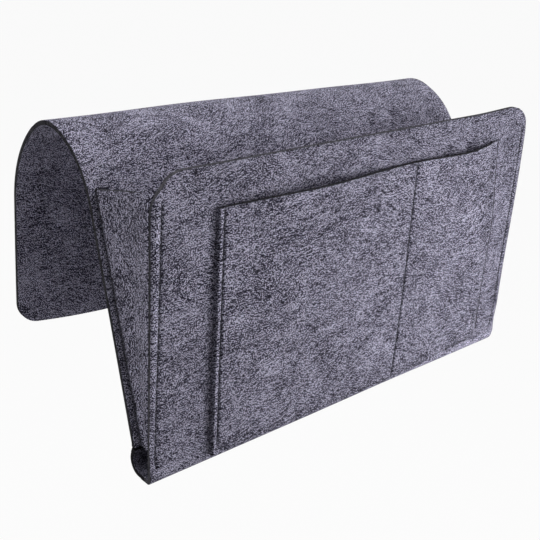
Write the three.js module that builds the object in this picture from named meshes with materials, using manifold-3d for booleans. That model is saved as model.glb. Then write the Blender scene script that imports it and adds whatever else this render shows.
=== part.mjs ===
// Felt armrest organizer: a sheet that forms the front, bottom, back and flap, with side gussets,
// a divided front pocket and the threads of its seams.
// Millimetres and degrees. +X runs across the front, +Y from the front towards the armrest, +Z up.
// The origin is on the underside of the flap's ridge, where the armrest carries it.
import * as THREE from "three";
import { mergeVertices } from "three/addons/utils/BufferGeometryUtils.js";
import Module from "manifold-3d";

// Felt and sewing thread
const FELT = 3;
const THREAD = 0.9;
const THREAD_PROUD = 0.2;
const GAP = 0.3;

// Front panel
const WIDTH = 330;
const FRONT_HEIGHT = 186;
const FRONT_CORNER = 22;

// Bottom fold, seen from its open end
const BASE_DEPTH = 21;
const BASE_RADIUS = 8;
const BASE_HEIGHT = 15;
const BASE_PINCH = 20;

// Back panel and flap: lengths and radii are those of the outer face, over the arch
const BACK_LEAN = 17.2;
const BACK_LENGTH = 143;
const RISE_RADIUS = 58;
const RISE_ANGLE = 53.3;
const RIDGE_RADIUS = 29;
const RIDGE_ANGLE = 56.1;
const SHOULDER_RADIUS = 72;
const SHOULDER_ANGLE = 50;
const DROP_LENGTH = 89;
const DROP_CORNER = 14;

// How far the flap may still close at its two folds, which sets the relief cut there
const RIDGE_CLOSING_ANGLE = 25;
const SHOULDER_CLOSING_ANGLE = 30;
const RELIEF_ANGLE = 2;

// Gussets: their outer faces stand in from the side edges, and their flanges turn inwards by the allowance
const GUSSET_INSET = 1;
const SEAM_ALLOWANCE = 9;
const GUSSET_FOOT = 21;
const GUSSET_TOP = 175;

// Seams: distance from the felt's edge, and clear felt left at the ends
const SEAM_INSET = 5.5;
const FRONT_SEAM_FOOT = 12;
const SEAM_END = 6;

// Front pocket: clear felt left beside it and below it, and the width of its left compartment
const POCKET_LEFT_MARGIN = 41;
const POCKET_RIGHT_MARGIN = 33;
const POCKET_LEFT_WIDTH = 167;
const POCKET_LEFT = POCKET_LEFT_MARGIN - WIDTH / 2;
const POCKET_RIGHT = WIDTH / 2 - POCKET_RIGHT_MARGIN;
const POCKET_DIVIDER = POCKET_LEFT + POCKET_LEFT_WIDTH;
const POCKET_FOOT = 4.5;
const POCKET_TOP = 163;
const POCKET_SIDE_DEPTH = 5;
const POCKET_LEFT_BULGE = 6;
const POCKET_RIGHT_BULGE = 5;
const POCKET_STITCH_INSET = 4;
const POCKET_BOTTOM_INSET = 3;
const POCKET_SEAM_FOOT = 8;

// Fineness of round stretches
const ARC_STEP_ANGLE = 7;
const CORNER_SEGMENTS = 8;
const BULGE_COLUMNS = 10;
const POCKET_ROWS = 4;
const THREAD_SIDES = 8;

const FELT_COLOUR = 0x74717d;
const THREAD_COLOUR = 0x24232c;

const wasm = await Module();
wasm.setup();

const sine = (degrees) => Math.sin(THREE.MathUtils.degToRad(degrees));
const cosine = (degrees) => Math.cos(THREE.MathUtils.degToRad(degrees));
const tangent = (degrees) => Math.tan(THREE.MathUtils.degToRad(degrees));

// Turns a closed geometry into a solid that can be joined and cut.
function solidOf(geometry) {
  const bare = geometry.clone();
  bare.deleteAttribute("normal");
  bare.deleteAttribute("uv");
  const merged = mergeVertices(bare, 1e-4);
  return new wasm.Manifold(
    new wasm.Mesh({
      numProp: 3,
      vertProperties: merged.attributes.position.array,
      triVerts: new Uint32Array(merged.index.array),
    }),
  );
}

// Turns a solid back into a geometry.
function geometryOf(solid) {
  const mesh = solid.getMesh();
  const geometry = new THREE.BufferGeometry();
  geometry.setAttribute("position", new THREE.BufferAttribute(new Float32Array(mesh.vertProperties), 3));
  geometry.setIndex(new THREE.BufferAttribute(new Uint32Array(mesh.triVerts), 1));
  geometry.computeVertexNormals();
  return geometry;
}

// A face line of the felt in the YZ plane. A heading of 0 points up and 90 points to +Y.
class FacePath {
  constructor(y, z, heading) {
    this.points = [{ y, z, heading }];
  }

  get end() {
    return this.points[this.points.length - 1];
  }

  line(length) {
    const { y, z, heading } = this.end;
    this.points.push({ y: y + length * sine(heading), z: z + length * cosine(heading), heading });
    return this;
  }

  // A positive turn bends towards the right of the heading, a negative one to the left.
  arc(radius, turn) {
    const { y, z, heading } = this.end;
    const reach = radius * Math.sign(turn);
    const centre = { y: y + reach * cosine(heading), z: z - reach * sine(heading) };
    const steps = Math.ceil(Math.abs(turn) / ARC_STEP_ANGLE);
    for (let i = 1; i <= steps; i += 1) {
      const now = heading + (turn * i) / steps;
      this.points.push({ y: centre.y - reach * cosine(now), z: centre.z + reach * sine(now), heading: now });
    }
    return this;
  }
}

// The point beside a path point, to the right of its heading where the distance is positive.
const beside = (point, distance) => ({
  y: point.y + distance * cosine(point.heading),
  z: point.z - distance * sine(point.heading),
  heading: point.heading,
});

// The point further along a path point's heading.
const ahead = (point, distance) => ({
  y: point.y + distance * sine(point.heading),
  z: point.z + distance * cosine(point.heading),
  heading: point.heading,
});

// Cuts a closed outline in the YZ plane out of felt or air, from one X to another.
function acrossX(outline, fromX, toX) {
  const shape = new THREE.Shape(outline.map((p) => new THREE.Vector2(p.y, p.z)));
  const geometry = new THREE.ExtrudeGeometry(shape, { depth: toX - fromX, bevelEnabled: false });
  const axes = new THREE.Matrix4().makeBasis(
    new THREE.Vector3(0, 1, 0),
    new THREE.Vector3(0, 0, 1),
    new THREE.Vector3(1, 0, 0),
  );
  return geometry.applyMatrix4(axes).translate(fromX, 0, 0);
}

// A band of felt along a face path, over the whole width. The felt lies to the right of the heading where
// side is 1, and to the left where it is -1. Trims shorten both faces and reliefs only the far one.
function feltBand(path, side, { startTrim = 0, endTrim = 0, startRelief = 0, endRelief = 0 } = {}) {
  const near = path.points.map((p) => ({ ...p }));
  const far = path.points.map((p) => beside(p, side * FELT));
  const last = near.length - 1;
  near[0] = ahead(near[0], startTrim);
  far[0] = ahead(far[0], startTrim + startRelief);
  near[last] = ahead(near[last], -endTrim);
  far[last] = ahead(far[last], -endTrim - endRelief);
  return acrossX([...near, ...far.reverse()], -WIDTH / 2, WIDTH / 2);
}

// The front panel's outline, with round top corners, in its own plane.
function frontOutline() {
  const half = WIDTH / 2;
  const shape = new THREE.Shape();
  shape.moveTo(-half, 0);
  shape.lineTo(half, 0);
  shape.lineTo(half, FRONT_HEIGHT - FRONT_CORNER);
  shape.absarc(half - FRONT_CORNER, FRONT_HEIGHT - FRONT_CORNER, FRONT_CORNER, 0, Math.PI / 2, false);
  shape.absarc(FRONT_CORNER - half, FRONT_HEIGHT - FRONT_CORNER, FRONT_CORNER, Math.PI / 2, Math.PI, false);
  return shape;
}

// Extrudes an outline that lies in an upright plane from the front (low Y) to the back.
function uprightPlate(shape, fromY, toY) {
  const geometry = new THREE.ExtrudeGeometry(shape, {
    depth: toY - fromY,
    bevelEnabled: false,
    curveSegments: CORNER_SEGMENTS,
  });
  return geometry.rotateX(Math.PI / 2).translate(0, toY, 0);
}

// A straight seam: its thread, and the groove that the thread draws into the felt.
function straightSeam(from, to, outward) {
  const along = new THREE.Vector3().subVectors(to, from);
  const length = along.length();
  along.normalize();
  const sideways = new THREE.Vector3().crossVectors(outward, along);
  const place = new THREE.Matrix4().makeBasis(sideways, outward, along).setPosition(from);
  const thread = new THREE.CylinderGeometry(THREAD / 2, THREAD / 2, length, THREAD_SIDES);
  thread.rotateX(Math.PI / 2).translate(0, THREAD_PROUD - THREAD / 2, length / 2);
  const depth = THREAD - THREAD_PROUD + GAP;
  const groove = new THREE.BoxGeometry(THREAD + 2 * GAP, depth + FELT, length + 2 * GAP);
  groove.translate(0, (FELT - depth) / 2, length / 2);
  return { thread: thread.applyMatrix4(place), groove: groove.applyMatrix4(place) };
}

// Takes the grooves of some seams out of a piece.
function withGrooves(solid, seams) {
  return seams.reduce((left, seam) => left.subtract(solidOf(seam.groove)), solid);
}

// Face paths of the sheet, from the bottom fold to the flap's free end
const foldPath = new FacePath(FELT + GAP, 0, 90)
  .line(BASE_DEPTH - BASE_RADIUS - FELT - GAP)
  .arc(BASE_RADIUS, -90 - BASE_PINCH);
foldPath.line((BASE_HEIGHT - foldPath.end.z) / cosine(BASE_PINCH));
const foldMiddle = beside(foldPath.end, -FELT / 2);
const backFoot = beside(
  { y: foldMiddle.y, z: BASE_HEIGHT + GAP + (FELT / 2) * sine(BACK_LEAN), heading: BACK_LEAN },
  -FELT / 2,
);
const backPath = new FacePath(backFoot.y, backFoot.z, BACK_LEAN)
  .line(BACK_LENGTH)
  .arc(RISE_RADIUS, RISE_ANGLE);
const ridge = backPath.end;
const saddlePath = new FacePath(ridge.y, ridge.z, ridge.heading)
  .arc(RIDGE_RADIUS, RIDGE_ANGLE)
  .arc(SHOULDER_RADIUS, SHOULDER_ANGLE);
const shoulder = saddlePath.end;
const dropPath = new FacePath(shoulder.y, shoulder.z, shoulder.heading).line(DROP_LENGTH);
const ridgeCentre = beside(ridge, RIDGE_RADIUS);
const saddle = { y: ridgeCentre.y, z: ridgeCentre.z + RIDGE_RADIUS - FELT };

// Where the back panel's inner face is at a given height, moved forward by some distance
const backFaceY = (z, forward) =>
  backFoot.y + (z - backFoot.z) * tangent(BACK_LEAN) - forward / cosine(BACK_LEAN);

const ridgeRelief = FELT * tangent((RIDGE_CLOSING_ANGLE + RELIEF_ANGLE) / 2);
const shoulderRelief = FELT * tangent((SHOULDER_CLOSING_ANGLE + RELIEF_ANGLE) / 2);

// The gusset's cut slopes with the middle of the wedge, so both of its ends fall towards the back.
const gussetFall = tangent(BACK_LEAN / 2);
const gussetFront = FELT + GAP;
function gussetBackEnd(frontZ, forward) {
  const steep = tangent(BACK_LEAN);
  const y = (backFaceY(frontZ, forward) + steep * gussetFall * gussetFront) / (1 + steep * gussetFall);
  return { y, z: frontZ - gussetFall * (y - gussetFront) };
}

// A gusset on the side with the given sign: a tapered web, with a flange turned inwards at the front and at
// the back.
function gusset(sign) {
  const corner = (y, frontZ) => ({ y, z: frontZ - gussetFall * (y - gussetFront) });
  const flangeBack = gussetFront + FELT;
  const web = [
    corner(gussetFront, GUSSET_FOOT),
    gussetBackEnd(GUSSET_FOOT, GAP),
    gussetBackEnd(GUSSET_TOP, GAP),
    corner(gussetFront, GUSSET_TOP),
  ];
  const frontFlange = [
    corner(gussetFront, GUSSET_FOOT),
    corner(flangeBack, GUSSET_FOOT),
    corner(flangeBack, GUSSET_TOP),
    corner(gussetFront, GUSSET_TOP),
  ];
  const backFlange = [
    gussetBackEnd(GUSSET_FOOT, GAP + FELT),
    gussetBackEnd(GUSSET_FOOT, GAP),
    gussetBackEnd(GUSSET_TOP, GAP),
    gussetBackEnd(GUSSET_TOP, GAP + FELT),
  ];
  const outer = WIDTH / 2 - GUSSET_INSET;
  const flangeEdge = outer - SEAM_ALLOWANCE;
  const slab = (outline, lowX, highX) =>
    solidOf(acrossX(outline, Math.min(sign * lowX, sign * highX), Math.max(sign * lowX, sign * highX)));
  const flanges = slab(frontFlange, flangeEdge, outer).add(slab(backFlange, flangeEdge, outer));
  return slab(web, outer - FELT, outer).add(flanges);
}

// Front pocket: how far its inner face stands off the front panel at the mouth, between its seams
function mouthDepth(x) {
  const inLeft = x < POCKET_DIVIDER;
  const side = inLeft ? POCKET_LEFT : POCKET_RIGHT;
  const bulge = inLeft ? POCKET_LEFT_BULGE : POCKET_RIGHT_BULGE;
  const share = (x - POCKET_DIVIDER) / (side - POCKET_DIVIDER);
  return POCKET_SIDE_DEPTH * share + bulge * Math.sin(Math.PI * share);
}
const pocketRise = (z) => (z - POCKET_FOOT) / (POCKET_TOP - POCKET_FOOT);
const pocketInnerY = (x, z) => -GAP - mouthDepth(x) * pocketRise(z);
const pocketOuterY = (x, z) => pocketInnerY(x, z) - FELT;

// The columns of the pocket's face: both folds, the edge seams, the divider and the bulges between them
function pocketColumns() {
  const stops = [
    POCKET_LEFT,
    POCKET_LEFT + POCKET_STITCH_INSET,
    POCKET_DIVIDER,
    POCKET_RIGHT - POCKET_STITCH_INSET,
    POCKET_RIGHT,
  ];
  const columns = [];
  for (let i = 0; i + 1 < stops.length; i += 1) {
    const wide = stops[i + 1] - stops[i] > POCKET_STITCH_INSET;
    const parts = wide ? BULGE_COLUMNS : 1;
    for (let k = 0; k < parts; k += 1) columns.push(stops[i] + ((stops[i + 1] - stops[i]) * k) / parts);
  }
  columns.push(POCKET_RIGHT);
  return columns;
}

// The pocket's face as a closed slab between its outer and inner surface.
function pocketFace() {
  const columns = pocketColumns();
  const across = columns.length;
  const positions = [];
  for (const surface of [pocketOuterY, pocketInnerY]) {
    for (let row = 0; row <= POCKET_ROWS; row += 1) {
      const z = POCKET_FOOT + ((POCKET_TOP - POCKET_FOOT) * row) / POCKET_ROWS;
      for (const x of columns) positions.push(x, surface(x, z), z);
    }
  }
  const layer = across * (POCKET_ROWS + 1);
  const index = [];
  const quad = (a, b, c, d) => index.push(a, b, c, a, c, d);
  for (let row = 0; row < POCKET_ROWS; row += 1) {
    for (let i = 0; i + 1 < across; i += 1) {
      const at = row * across + i;
      quad(at, at + 1, at + across + 1, at + across);
      quad(layer + at, layer + at + across, layer + at + across + 1, layer + at + 1);
    }
    const low = row * across;
    const high = low + across;
    quad(low, high, layer + high, layer + low);
    quad(low + across - 1, layer + low + across - 1, layer + high + across - 1, high + across - 1);
  }
  const top = POCKET_ROWS * across;
  for (let i = 0; i + 1 < across; i += 1) {
    quad(i, layer + i, layer + i + 1, i + 1);
    quad(top + i, top + i + 1, layer + top + i + 1, layer + top + i);
  }
  const geometry = new THREE.BufferGeometry();
  geometry.setAttribute("position", new THREE.Float32BufferAttribute(positions, 3));
  geometry.setIndex(index);
  return solidOf(geometry);
}

// A standing side of the pocket, from the front panel to the middle of the face's felt.
function pocketSide(foldX, lowX) {
  const mid = (z) => pocketInnerY(foldX, z) - FELT / 2;
  const outline = [
    { y: -GAP, z: POCKET_FOOT },
    { y: -GAP, z: POCKET_TOP },
    { y: mid(POCKET_TOP), z: POCKET_TOP },
    { y: mid(POCKET_FOOT), z: POCKET_FOOT },
  ];
  return solidOf(acrossX(outline, lowX, lowX + FELT));
}

// Seams of the gussets
const frontOutward = new THREE.Vector3(0, -1, 0);
const backOutward = new THREE.Vector3(0, cosine(BACK_LEAN), -sine(BACK_LEAN));
function frontSeam(sign) {
  const x = sign * (WIDTH / 2 - SEAM_INSET);
  const low = new THREE.Vector3(x, 0, FRONT_SEAM_FOOT);
  return straightSeam(low, new THREE.Vector3(x, 0, GUSSET_TOP - SEAM_END), frontOutward);
}
function backSeam(sign) {
  const x = sign * (WIDTH / 2 - SEAM_INSET);
  const behind = (frontZ) => {
    const flange = gussetBackEnd(frontZ, 0);
    const rear = beside({ ...flange, heading: BACK_LEAN }, FELT);
    return new THREE.Vector3(x, rear.y, rear.z);
  };
  return straightSeam(behind(GUSSET_FOOT + SEAM_END), behind(GUSSET_TOP - SEAM_END), backOutward);
}

// Seams of the pocket
function pocketSeam(x) {
  const on = (z) => new THREE.Vector3(x, pocketOuterY(x, z), z);
  const low = on(POCKET_FOOT + POCKET_SEAM_FOOT);
  const high = on(POCKET_TOP - SEAM_END);
  const outward = new THREE.Vector3(0, low.z - high.z, high.y - low.y).normalize();
  return straightSeam(low, high, outward);
}
function pocketBottomSeam() {
  const z = POCKET_FOOT + POCKET_BOTTOM_INSET;
  const low = new THREE.Vector3(POCKET_LEFT + SEAM_END, -GAP - FELT, z);
  return straightSeam(low, new THREE.Vector3(POCKET_RIGHT - SEAM_END, -GAP - FELT, z), frontOutward);
}
// The hidden seam at the foot of a pocket side lies on the front panel, as far down as there is room for it.
function pocketBaseThread(foldX, inward) {
  const x = foldX + inward * (FELT + GAP + THREAD / 2);
  const room = THREAD + 2 * GAP;
  const lowZ = POCKET_FOOT + ((POCKET_TOP - POCKET_FOOT) * room) / POCKET_SIDE_DEPTH;
  const length = POCKET_TOP - SEAM_END - lowZ;
  const thread = new THREE.CylinderGeometry(THREAD / 2, THREAD / 2, length, THREAD_SIDES);
  return thread.rotateX(Math.PI / 2).translate(x, -GAP - THREAD / 2, lowZ + length / 2);
}

const seams = {
  front_left: frontSeam(-1),
  front_right: frontSeam(1),
  back_left: backSeam(-1),
  back_right: backSeam(1),
  pocket_left_edge: pocketSeam(POCKET_LEFT + POCKET_STITCH_INSET),
  pocket_right_edge: pocketSeam(POCKET_RIGHT - POCKET_STITCH_INSET),
  pocket_divider: pocketSeam(POCKET_DIVIDER),
  pocket_bottom: pocketBottomSeam(),
};

function frontPanel() {
  const plate = solidOf(uprightPlate(frontOutline(), 0, FELT));
  return geometryOf(withGrooves(plate, [seams.front_left, seams.front_right]));
}

function backPanel() {
  const band = feltBand(backPath, 1, { endTrim: GAP / 2, endRelief: ridgeRelief });
  return geometryOf(withGrooves(solidOf(band), [seams.back_left, seams.back_right]));
}

function flapSaddle() {
  return feltBand(saddlePath, 1, {
    startTrim: GAP / 2,
    startRelief: ridgeRelief,
    endTrim: GAP / 2,
    endRelief: shoulderRelief,
  });
}

// The free end of the flap, with its two lower corners rounded by an outline in the drop's own plane.
function flapDrop() {
  const band = feltBand(dropPath, 1, { startTrim: GAP / 2, startRelief: shoulderRelief });
  const half = WIDTH / 2;
  const outline = new THREE.Shape();
  outline.moveTo(half, 0);
  outline.lineTo(-half, 0);
  outline.lineTo(-half, DROP_CORNER - DROP_LENGTH);
  outline.absarc(DROP_CORNER - half, DROP_CORNER - DROP_LENGTH, DROP_CORNER, Math.PI, 1.5 * Math.PI, false);
  outline.absarc(half - DROP_CORNER, DROP_CORNER - DROP_LENGTH, DROP_CORNER, -Math.PI / 2, 0, false);
  const overlap = 2 * FELT;
  const blank = new THREE.ExtrudeGeometry(outline, {
    depth: 2 * overlap,
    bevelEnabled: false,
    curveSegments: CORNER_SEGMENTS,
  });
  blank.translate(0, 0, -overlap);
  const up = new THREE.Vector3(0, -sine(shoulder.heading), -cosine(shoulder.heading));
  const across = new THREE.Vector3(1, 0, 0);
  const place = new THREE.Matrix4().makeBasis(across, up, new THREE.Vector3().crossVectors(across, up));
  blank.applyMatrix4(place.setPosition(0, shoulder.y, shoulder.z));
  return geometryOf(solidOf(band).intersect(solidOf(blank)));
}

function frontPocket() {
  const body = pocketFace()
    .add(pocketSide(POCKET_LEFT, POCKET_LEFT))
    .add(pocketSide(POCKET_RIGHT, POCKET_RIGHT - FELT));
  const sewn = [seams.pocket_left_edge, seams.pocket_right_edge, seams.pocket_divider, seams.pocket_bottom];
  return geometryOf(withGrooves(body, sewn));
}

const pieces = new THREE.Group();

function addPiece(name, geometry, color) {
  const material = new THREE.MeshStandardMaterial({ color, roughness: 0.95, metalness: 0 });
  const mesh = new THREE.Mesh(geometry, material);
  mesh.name = name;
  pieces.add(mesh);
}

addPiece("front_panel", frontPanel(), FELT_COLOUR);
addPiece("bottom_fold", feltBand(foldPath, -1), FELT_COLOUR);
addPiece("back_panel", backPanel(), FELT_COLOUR);
addPiece("flap_saddle", flapSaddle(), FELT_COLOUR);
addPiece("flap_drop", flapDrop(), FELT_COLOUR);
addPiece("left_gusset", geometryOf(gusset(-1)), FELT_COLOUR);
addPiece("right_gusset", geometryOf(gusset(1)), FELT_COLOUR);
addPiece("front_pocket", frontPocket(), FELT_COLOUR);
for (const [name, seam] of Object.entries(seams)) addPiece(`${name}_thread`, seam.thread, THREAD_COLOUR);
addPiece("pocket_left_base_thread", pocketBaseThread(POCKET_LEFT, 1), THREAD_COLOUR);
addPiece("pocket_right_base_thread", pocketBaseThread(POCKET_RIGHT, -1), THREAD_COLOUR);

pieces.position.set(0, -saddle.y, -saddle.z);
const organizer = new THREE.Group();
organizer.add(pieces);

// Fold lines, as points on the axes in the finished frame. The mouth closes about the line where the inner
// faces of the front and back panels would meet.
const apexZ = backFoot.z - (backFoot.y - FELT) / tangent(BACK_LEAN);
organizer.userData.foldLines = {
  ridge: [0, ridge.y - saddle.y, ridge.z - saddle.z],
  shoulder: [0, shoulder.y - saddle.y, shoulder.z - saddle.z],
  mouth: [0, FELT - saddle.y, apexZ - saddle.z],
};

export default organizer;
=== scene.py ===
"""Dresses the felt armrest organizer: its sheets, gussets, pocket and stitching, in a plain studio.

Sizes are in millimetres in the maker's own frame: X from the middle of the front, Y from the front
panel's face towards the armrest, and Z from the bottom edge. Workshop.world moves them to the part's frame.
"""

from __future__ import annotations

import logging
import math
from collections.abc import Callable, Sequence
from dataclasses import dataclass, field
from enum import Enum

import bpy
from mathutils import Matrix, Vector

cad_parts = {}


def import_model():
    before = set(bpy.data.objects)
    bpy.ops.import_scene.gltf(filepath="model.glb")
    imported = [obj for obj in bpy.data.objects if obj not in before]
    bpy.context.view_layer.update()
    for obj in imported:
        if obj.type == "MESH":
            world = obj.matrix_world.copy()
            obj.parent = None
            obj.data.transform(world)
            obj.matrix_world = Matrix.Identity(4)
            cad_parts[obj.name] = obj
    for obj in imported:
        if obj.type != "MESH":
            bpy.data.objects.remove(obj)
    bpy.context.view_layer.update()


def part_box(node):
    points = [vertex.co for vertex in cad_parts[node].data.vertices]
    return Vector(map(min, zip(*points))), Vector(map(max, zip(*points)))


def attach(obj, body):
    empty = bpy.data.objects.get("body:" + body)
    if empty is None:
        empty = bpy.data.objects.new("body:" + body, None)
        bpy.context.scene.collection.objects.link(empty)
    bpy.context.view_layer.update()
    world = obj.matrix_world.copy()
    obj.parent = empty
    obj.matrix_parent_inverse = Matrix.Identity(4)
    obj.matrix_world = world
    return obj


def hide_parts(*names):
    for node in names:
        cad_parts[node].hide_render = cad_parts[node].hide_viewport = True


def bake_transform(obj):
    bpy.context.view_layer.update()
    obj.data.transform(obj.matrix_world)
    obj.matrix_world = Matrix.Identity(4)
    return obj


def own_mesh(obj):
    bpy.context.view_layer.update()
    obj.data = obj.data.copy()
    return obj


LOG = logging.getLogger("organizer")
MM = 0.001
FELT = 3.0  # thickness of the felt
THREAD = 0.9  # thickness of the thread
GAP = 0.3  # room between two pieces
WIDTH = 330.0  # of the long sheet
HALF = WIDTH / 2.0
EDGE_SEAM = HALF - 5.5  # from the middle to the gussets' seams
SEAM_FADE = 5.0  # length over which a seam's pull fades at its ends
FORWARD = Vector((0.0, -1.0, 0.0))
Colour = tuple[float, float, float]
Measure = Callable[[float, float], float]


class Hold(Enum):
    """How a sheet is held."""

    HUNG = "hung"
    DRAPED = "draped"
    FOLDED = "folded"


class Body(Enum):
    """The bodies that pieces ride on."""

    BACK = "back"
    FRONT = "front"
    SADDLE = "saddle"
    DROP = "drop"


class Edge(Enum):
    """How a cut edge looks: one cut edge, with a darker copy painted with shade and a paler copy painted with
    light.
    """

    DENSE = "dense"
    DEEP = "deep"
    WOOLLY = "woolly"


class Slot(Enum):
    """The record's material slots."""

    FELT = "grey_felt"
    THREAD = "dark_thread"


class Side(Enum):
    """The organizer's two ends, by the sign of X."""

    LEFT = -1
    RIGHT = 1

    @property
    def label(self) -> str:
        """The end's word in the names of pieces."""
        return self.name.lower()


# Numbers along a line


def steps(start: float, stop: float, pitch: float) -> list[float]:
    """Evenly spaced numbers from start to stop, with both ends, at most a pitch apart."""
    count = max(1, math.ceil(abs(stop - start) / pitch))
    return [start + (stop - start) * i / count for i in range(count + 1)]


def spaced(start: float, *spans: tuple[float, float]) -> list[float]:
    """Spaces numbers along a line, closer together in some stretches than in others.

    Args:
        start: First number.
        spans: Where each stretch ends, and the widest spacing in it.

    Returns:
        The numbers, with both ends of every stretch.
    """
    found, last = [start], start
    for end, pitch in spans:
        found.extend(steps(last, end, pitch)[1:])
        last = end
    return found


def chain(*runs: Sequence[float]) -> list[float]:
    """Joins runs of numbers that share their ends.

    Args:
        runs: Each begins where the one before it stops.

    Returns:
        One list without the doubled ends.
    """
    joined = list(runs[0])
    for run in runs[1:]:
        joined.extend(run[1:])
    return joined


def reached(place: float, start: float, end: float) -> float:
    """The share of the way from start to end that a place has come, from 0 to 1."""
    return min(1.0, max(0.0, (place - start) / (end - start)))


def grown(place: float, start: float, end: float) -> float:
    """The same share as a smooth step."""
    t = reached(place, start, end)
    return t * t * (3.0 - 2.0 * t)


def sewn(place: float, start: float, end: float) -> float:
    """The share of a seam's pull at a place along it, which fades in and out at its ends."""
    return grown(place, start, start + SEAM_FADE) * grown(place, end, end - SEAM_FADE)


def dent(offset: float, reach: float) -> float:
    """The depth share of a soft dent at a distance from its middle."""
    return math.exp(-((offset / reach) ** 2))


@dataclass(frozen=True)
class Swell:
    """An amount that grows smoothly from none at one place to all of it at another.

    Attributes:
        start: Where it begins.
        end: Where it is whole, on either side of the start.
        amount: What it grows to.
    """

    start: float
    end: float
    amount: float = 1.0

    def at(self, place: float) -> float:
        """The amount at a place."""
        return self.amount * grown(place, self.start, self.end)


@dataclass(frozen=True)
class Dent:
    """A soft dent along a line.

    Attributes:
        middle: Where it is deepest.
        reach: How far from there it has faded to a third.
        depth: How deep it is.
    """

    middle: float
    reach: float
    depth: float = 1.0

    def at(self, place: float) -> float:
        """The depth at a place."""
        return self.depth * dent(place - self.middle, self.reach)

    def towards(self, other: Dent, share: float) -> Dent:
        """Blends into another dent.

        Args:
            other: The other dent.
            share: 0 for this dent and 1 for the other one.

        Returns:
            The dent between them.
        """
        return Dent(
            self.middle + share * (other.middle - self.middle),
            self.reach + share * (other.reach - self.reach),
            self.depth + share * (other.depth - self.depth),
        )


@dataclass(frozen=True)
class Patch:
    """A swell or a dent across the felt, times another one along it."""

    across: Swell | Dent
    along: Swell | Dent

    def at(self, across: float, along: float) -> float:
        """The amount at a place."""
        return self.across.at(across) * self.along.at(along)


def slack(x: float, along: float, phase: float = 0.0) -> float:
    """The slow unevenness of a hand-sewn felt sheet.

    Args:
        x: Place across the sheet.
        along: Place along the sheet.
        phase: Makes sheets differ.

    Returns:
        How far the felt stands out, within about half a millimetre.
    """
    broad_across, broad_along, broad_height = 46.0, 37.0, 0.34
    narrow_across, narrow_along, narrow_height = 21.0, 29.0, 0.16
    broad = math.sin(x / broad_across + 1.3 + phase) * math.sin(along / broad_along + 0.4 + 2.0 * phase)
    narrow = math.sin(x / narrow_across + along / narrow_along + 3.0 * phase)
    return broad_height * broad + narrow_height * narrow


# Face lines


@dataclass(frozen=True)
class PathPoint:
    """A point of a face line in the YZ plane, with its heading in degrees: 0 is up and 90 is +Y."""

    y: float
    z: float
    heading: float

    def beside(self, distance: float) -> PathPoint:
        """The point to the right of the heading, or to the left where the distance is negative."""
        turn = math.radians(self.heading)
        return PathPoint(self.y + distance * math.cos(turn), self.z - distance * math.sin(turn), self.heading)

    def ahead(self, distance: float) -> PathPoint:
        """The point further along the heading."""
        turn = math.radians(self.heading)
        return PathPoint(self.y + distance * math.sin(turn), self.z + distance * math.cos(turn), self.heading)


@dataclass
class FacePath:
    """A face line of the felt: straight runs and round bends, one after the other."""

    start: PathPoint
    spans: list[tuple[float, float]] = field(default_factory=list)

    def line(self, length: float) -> FacePath:
        """Adds a straight run."""
        self.spans.append((length, 0.0))
        return self

    def arc(self, radius: float, turn: float) -> FacePath:
        """Adds a bend: a positive turn goes to the right of the heading."""
        self.spans.append((radius * math.radians(abs(turn)), turn))
        return self

    @property
    def length(self) -> float:
        """The whole developed length."""
        return sum(length for length, _ in self.spans)

    def at(self, along: float) -> PathPoint:
        """Walks along the line.

        Args:
            along: Developed length from the start.

        Returns:
            The point there. Past the end, the line runs straight on.
        """
        point, left = self.start, along
        for length, turn in self.spans:
            step = min(left, length)
            point = self._step(point, step, length, turn)
            left -= step
            if left <= 0.0:
                return point
        return point.ahead(left)

    @staticmethod
    def _step(point: PathPoint, step: float, length: float, turn: float) -> PathPoint:
        """Goes a step along one span.

        Args:
            point: Where the span begins.
            step: How far to go.
            length: The span's length.
            turn: The span's turn in degrees.

        Returns:
            The point at the end of the step.
        """
        if turn == 0.0 or step <= 0.0:
            return point.ahead(step)
        reach = math.copysign(length / math.radians(abs(turn)), turn)
        centre = point.beside(reach)
        now = PathPoint(centre.y, centre.z, point.heading + turn * step / length)
        return now.beside(-reach)


# Shader writing


class Wire:
    """A value socket whose arithmetic adds Math nodes."""

    def __init__(self, recipe: Recipe, socket: bpy.types.NodeSocket) -> None:
        """Keeps the socket and the recipe that it belongs to."""
        self.recipe = recipe
        self.socket = socket

    def _math(self, operation: str, first: Wire | float, second: Wire | float) -> Wire:
        """The result of a Math node on two values."""
        return self.recipe.add("ShaderNodeMath", {"operation": operation}, {0: first, 1: second})

    def __add__(self, other: Wire | float) -> Wire:
        """Adds."""
        return self._math("ADD", self, other)

    __radd__ = __add__

    def __sub__(self, other: Wire | float) -> Wire:
        """Subtracts."""
        return self._math("SUBTRACT", self, other)

    def __rsub__(self, other: float) -> Wire:
        """Subtracts from a number."""
        return self._math("SUBTRACT", other, self)

    def __mul__(self, other: Wire | float) -> Wire:
        """Multiplies."""
        return self._math("MULTIPLY", self, other)

    __rmul__ = __mul__


Settings = dict[str, object]
Inputs = dict[str | int, Wire | float | tuple]
# Painted shade: the felt's colour is multiplied by this tint in seams, creases, folds and hollows.
PAINTED_SHADE_TINT = (0.07, 0.07, 0.09, 1.0)  # what the felt's colour is multiplied by in a seam


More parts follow.
